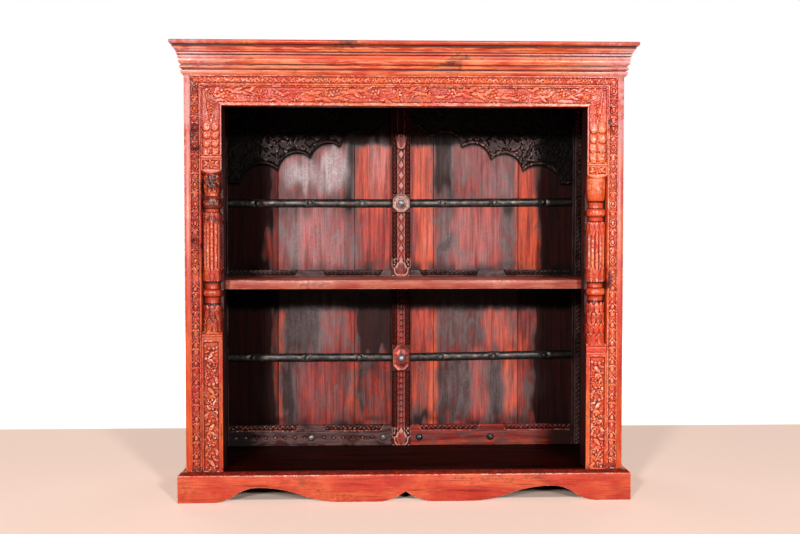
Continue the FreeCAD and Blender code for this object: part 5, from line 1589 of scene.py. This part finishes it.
def rivets_and_studs():
    places = [(side, level + rise * share, share) for side, level, rise, shares in BARS.values()
              for share in shares]
    # Bar rivets darken towards the outer ends through soot: painted shade.
    forms("bar_rivets_forged",
          [hammered_head(side * (STILE_HALF + share * RAIL_LENGTH), z, PLANK_Y - 6.4, 10, 5.3,
                         150 + i, 0.4, smooth((share - 0.6) / 0.2))
           for i, (side, z, share) in enumerate(places)], RIVET)
    forms("rail_studs_forged",
          [hammered_head(side * (STILE_HALF + share * RAIL_LENGTH), FLOOR_Z + 23, LEAF_Y, 11, 4.8,
                         170 + side * 3 + i, soot=0.0 if side < 0 else 0.8)
           for side in (-1, 1) for i, share in enumerate((0.055, 0.495))], RIVET)
    forms("boss_nails_forged", [hammered_head(0, z, STILE_Y - 6.6, 11.5, 6.8, 180 + int(z))
                                for z in (UPPER_BAR_Z, LOWER_BAR_Z)], NAIL)


PLATE_REACH = np.array([1.0, 1.0, 0.975, 0.93, 0.88, 0.82, 0.74, 0.64, 0.56, 0.5, 0.3, 0.12])
PLATE_RISE = np.array([0.0, 4.6, 5.9, 6.4, 6.2, 5.3, 5.0, 5.1, 5.8, 6.6, 6.9, 6.9])


def boss(name, z, half_width, half_height, look, half_soot, seed):
    """An iron plate with cut corners, a low rim and a dished field round its nail."""
    turn = np.linspace(0, FULL_TURN, 72, endpoint=False)
    c = np.abs(np.cos(turn))
    s = np.abs(np.sin(turn))
    outline = np.minimum(1 / np.maximum(c / half_width, s / half_height),
                         (half_width + half_height - 15) / (c + s))
    share = PLATE_REACH[:, None]
    radius = share * outline * (1 - 0.015 * rng_of(seed).random(72))
    lines = 0.3 * np.cos(turn * 12) * ((share > 0.6) & (share < 0.8))
    x = radius * np.cos(turn)
    y = STILE_Y + 0.4 - np.minimum(PLATE_RISE[:, None] + lines, 7.0)
    soot = half_soot * smooth((x + 8) / 6)
    crest = np.where((share > 0.86) & (share < 0.98), 0.7, 0.1) * (1 - soot)
    places = (x, y, z + radius * np.sin(turn))
    forms(name + "_forged", [(places, {"crest": crest, "hollow": soot})], look)


# Everything together
def carcase():
    for side, word in SIDES:
        eased("side_panel_" + word, 1.6, STAIN_SIDE, dark_side=(-side, 0, 0))
        eased("plinth_side_" + word, 1.6, STAIN_Y)
        eased("shelf_cleat_" + word, 0.8, SAWN_X)
    eased("plinth_front", 1.6, STAIN_PLINTH, dark_side=(0, 0, 1), darkening=0.75)
    eased("shelf", 1.8, STAIN_EDGE)
    eased("top_board", 0.8, STAIN_CORNICE, angle=50)
    eased("bottom_board", 1.2, DARK_BOARD)
    eased("ceiling_board", 1.0, DARK_BOARD)
    for node in ("back_batten_lower", "back_batten_middle", "back_batten_upper", "cornice_fascia",
                 "plinth_back", "plinth_corner_blocks"):
        eased(node, 0.8, SAWN_X)
    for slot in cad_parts["batten_nails"].material_slots:
        slot.link = "OBJECT"
        slot.material = IRON[0]


def face_frame():
    border_strip(-1, "left", STAIN_LEFT, 1.0, ((945, 60), (678, 30)), 11)
    border_strip(1, "right", STAIN_RIGHT, 0.8, ((1010, 50), (582, 36)), 17)
    frieze()
    head_rail()
    post(-1, "left", LEFT_STATIONS, False, LEFT_SOIL, STAIN_LEFT, 201)
    post(1, "right", RIGHT_STATIONS, True, RIGHT_SOIL, STAIN_RIGHT, 221)
    for side, word, look in ((0, "front", STAIN_CORNICE), (-1, "left", STAIN_Y),
                             (1, "right", STAIN_Y)):
        moulding("cornice_lower_" + word, LOWER_COURSE, side, look, 240 + side)
        moulding("cornice_upper_" + word, UPPER_COURSE, side, look, 250 + side)


def back():
    planks()
    centre_stile()
    for side, word in SIDES:
        leaf_stile(side, word)
        leaf_rail("bottom_rail_" + word, FLOOR_Z, FLOOR_Z + 60, side, side < 0,
                  PAINT_RAIL if side < 0 else PAINT_RAIL_RED, 0.9)
        leaf_rail("mid_rail_" + word, SHELF_Z - 14, SHELF_TOP_Z + 18, side, False, PAINT_RAIL,
                  0.35)
    spandrel(-1, "left", PAINT_ARCH, 0.3, 299)
    spandrel(1, "right", PAINT_ARCH_RED, 0.75, 301)
    iron_bars()
    rivets_and_studs()
    boss("upper_boss", UPPER_BAR_Z, 25, 27, PLATE_UPPER, 0.0, 190)
    boss("lower_boss", LOWER_BAR_Z, 24.5, 38.5, PLATE_LOWER, 0.62, 191)


# Stage, light and camera
WHITE = (1, 1, 1, 1)


def mixed(tree, amount, first, second, output):
    """Shows the first shader where amount is 0 and the second where it is 1."""
    mix = tree.nodes.new("ShaderNodeMixShader")
    for socket, value in zip(mix.inputs, (amount, first, second)):
        tree.links.new(value, socket)
    tree.links.new(mix.outputs[0], tree.nodes[output].inputs["Surface"])


def floor_finish():
    """A pale floor that runs out to white. It throws little light back, as in a dark studio."""
    f = Finish("pale_floor")
    far = f.ramp(f.node("SeparateXYZ", f.place).outputs[1], 0.86, 0.9)
    tone = f.blend(far, colour(246, 216, 200), WHITE)
    # under is 1 below the body, where the glow is switched off: a painted shadow under the cabinet.
    under = 1.0
    for axis, half in (("x", 0.585), ("y", 0.145)):
        under = f.times(f.ramp(f.distance(axis), half, half + 0.015, 1, 0), under)
    glow = f.maths("SUBTRACT", f.ramp(far, 0, 1, 0.42, 1.0), f.times(under, 0.42))
    for key, value in (("Base Color", tone), ("Emission Color", tone), ("Emission Strength", glow),
                       ("Roughness", 1.0), ("Specular IOR Level", 0.0)):
        f.feed(f.shader.inputs[key], value)
    path = f.node("LightPath").outputs
    seen = path["Is Camera Ray"]
    for key in ("Is Glossy Ray", "Is Transmission Ray"):
        seen = f.maths("MAXIMUM", seen, path[key])
    dim = f.node("BsdfDiffuse", colour(48, 42, 38))
    mixed(f.tree, seen, dim.outputs[0], f.shader.outputs[0], "Material Output")
    return f.material


def white_world():
    """White where the camera sees it, and nearly dark for everything else."""
    world = bpy.data.worlds.new("surround")
    world.use_nodes = True
    tree = world.node_tree
    dim = tree.nodes["Background"]
    dim.inputs["Color"].default_value = WHITE
    dim.inputs["Strength"].default_value = 0.008
    white = tree.nodes.new("ShaderNodeBackground")
    white.inputs["Color"].default_value = WHITE
    path = tree.nodes.new("ShaderNodeLightPath")
    mixed(tree, path.outputs["Is Camera Ray"], dim.outputs[0], white.outputs[0], "World Output")
    bpy.context.scene.world = world


def floor():
    mesh = bpy.data.meshes.new("floor")
    mesh.from_pydata([(-8, -8, 0), (8, -8, 0), (8, 8, 0), (-8, 8, 0)], [], [(0, 1, 2, 3)])
    mesh.materials.append(floor_finish())
    sheet = bpy.data.objects.new("floor", mesh)
    bpy.context.scene.collection.objects.link(sheet)


def lamp(name, place, aim, size, power):
    data = bpy.data.lights.new(name, "AREA")
    data.shape = "DISK"
    data.size = size
    data.energy = power
    lamp_object = bpy.data.objects.new(name, data)
    lamp_object.location = place
    lamp_object.rotation_euler = (Vector(aim) - Vector(place)).to_track_quat("-Z", "Y").to_euler()
    bpy.context.scene.collection.objects.link(lamp_object)


def lamps():
    middle = (0, 0, 0.6)
    lamp("key_left", (-1.69, -5.2, 1.9), middle, 0.5, 205)
    lamp("key_right", (1.65, -5.2, 1.9), middle, 0.5, 190)
    lamp("glint_left", (-3.0, -1.9, 1.0), (-0.5, -0.15, 0.6), 0.7, 7)
    lamp("glint_right", (2.6, -2.7, 1.0), (0.5, -0.15, 0.6), 0.7, 7)
    lamp("behind_left", (-2.2, 3.6, 1.7), middle, 2.4, 45)
    lamp("behind_right", (2.2, 3.6, 1.7), middle, 2.4, 35)


def photo_camera():
    """The photograph's camera, fitted to the object's measured corners."""
    data = bpy.data.cameras.new("photo_camera")
    data.sensor_width = 36.0
    data.lens = 47.2
    camera = bpy.data.objects.new("photo_camera", data)
    camera.location = (-0.1088, -2.9134, 0.705)
    camera.rotation_euler = (math.radians(88.126), 0, math.radians(-1.971))
    bpy.context.scene.collection.objects.link(camera)
    bpy.context.scene.camera = camera


carcase()
face_frame()
back()
floor()
lamps()
white_world()
photo_camera()
bpy.context.scene.view_settings.view_transform = "Standard"
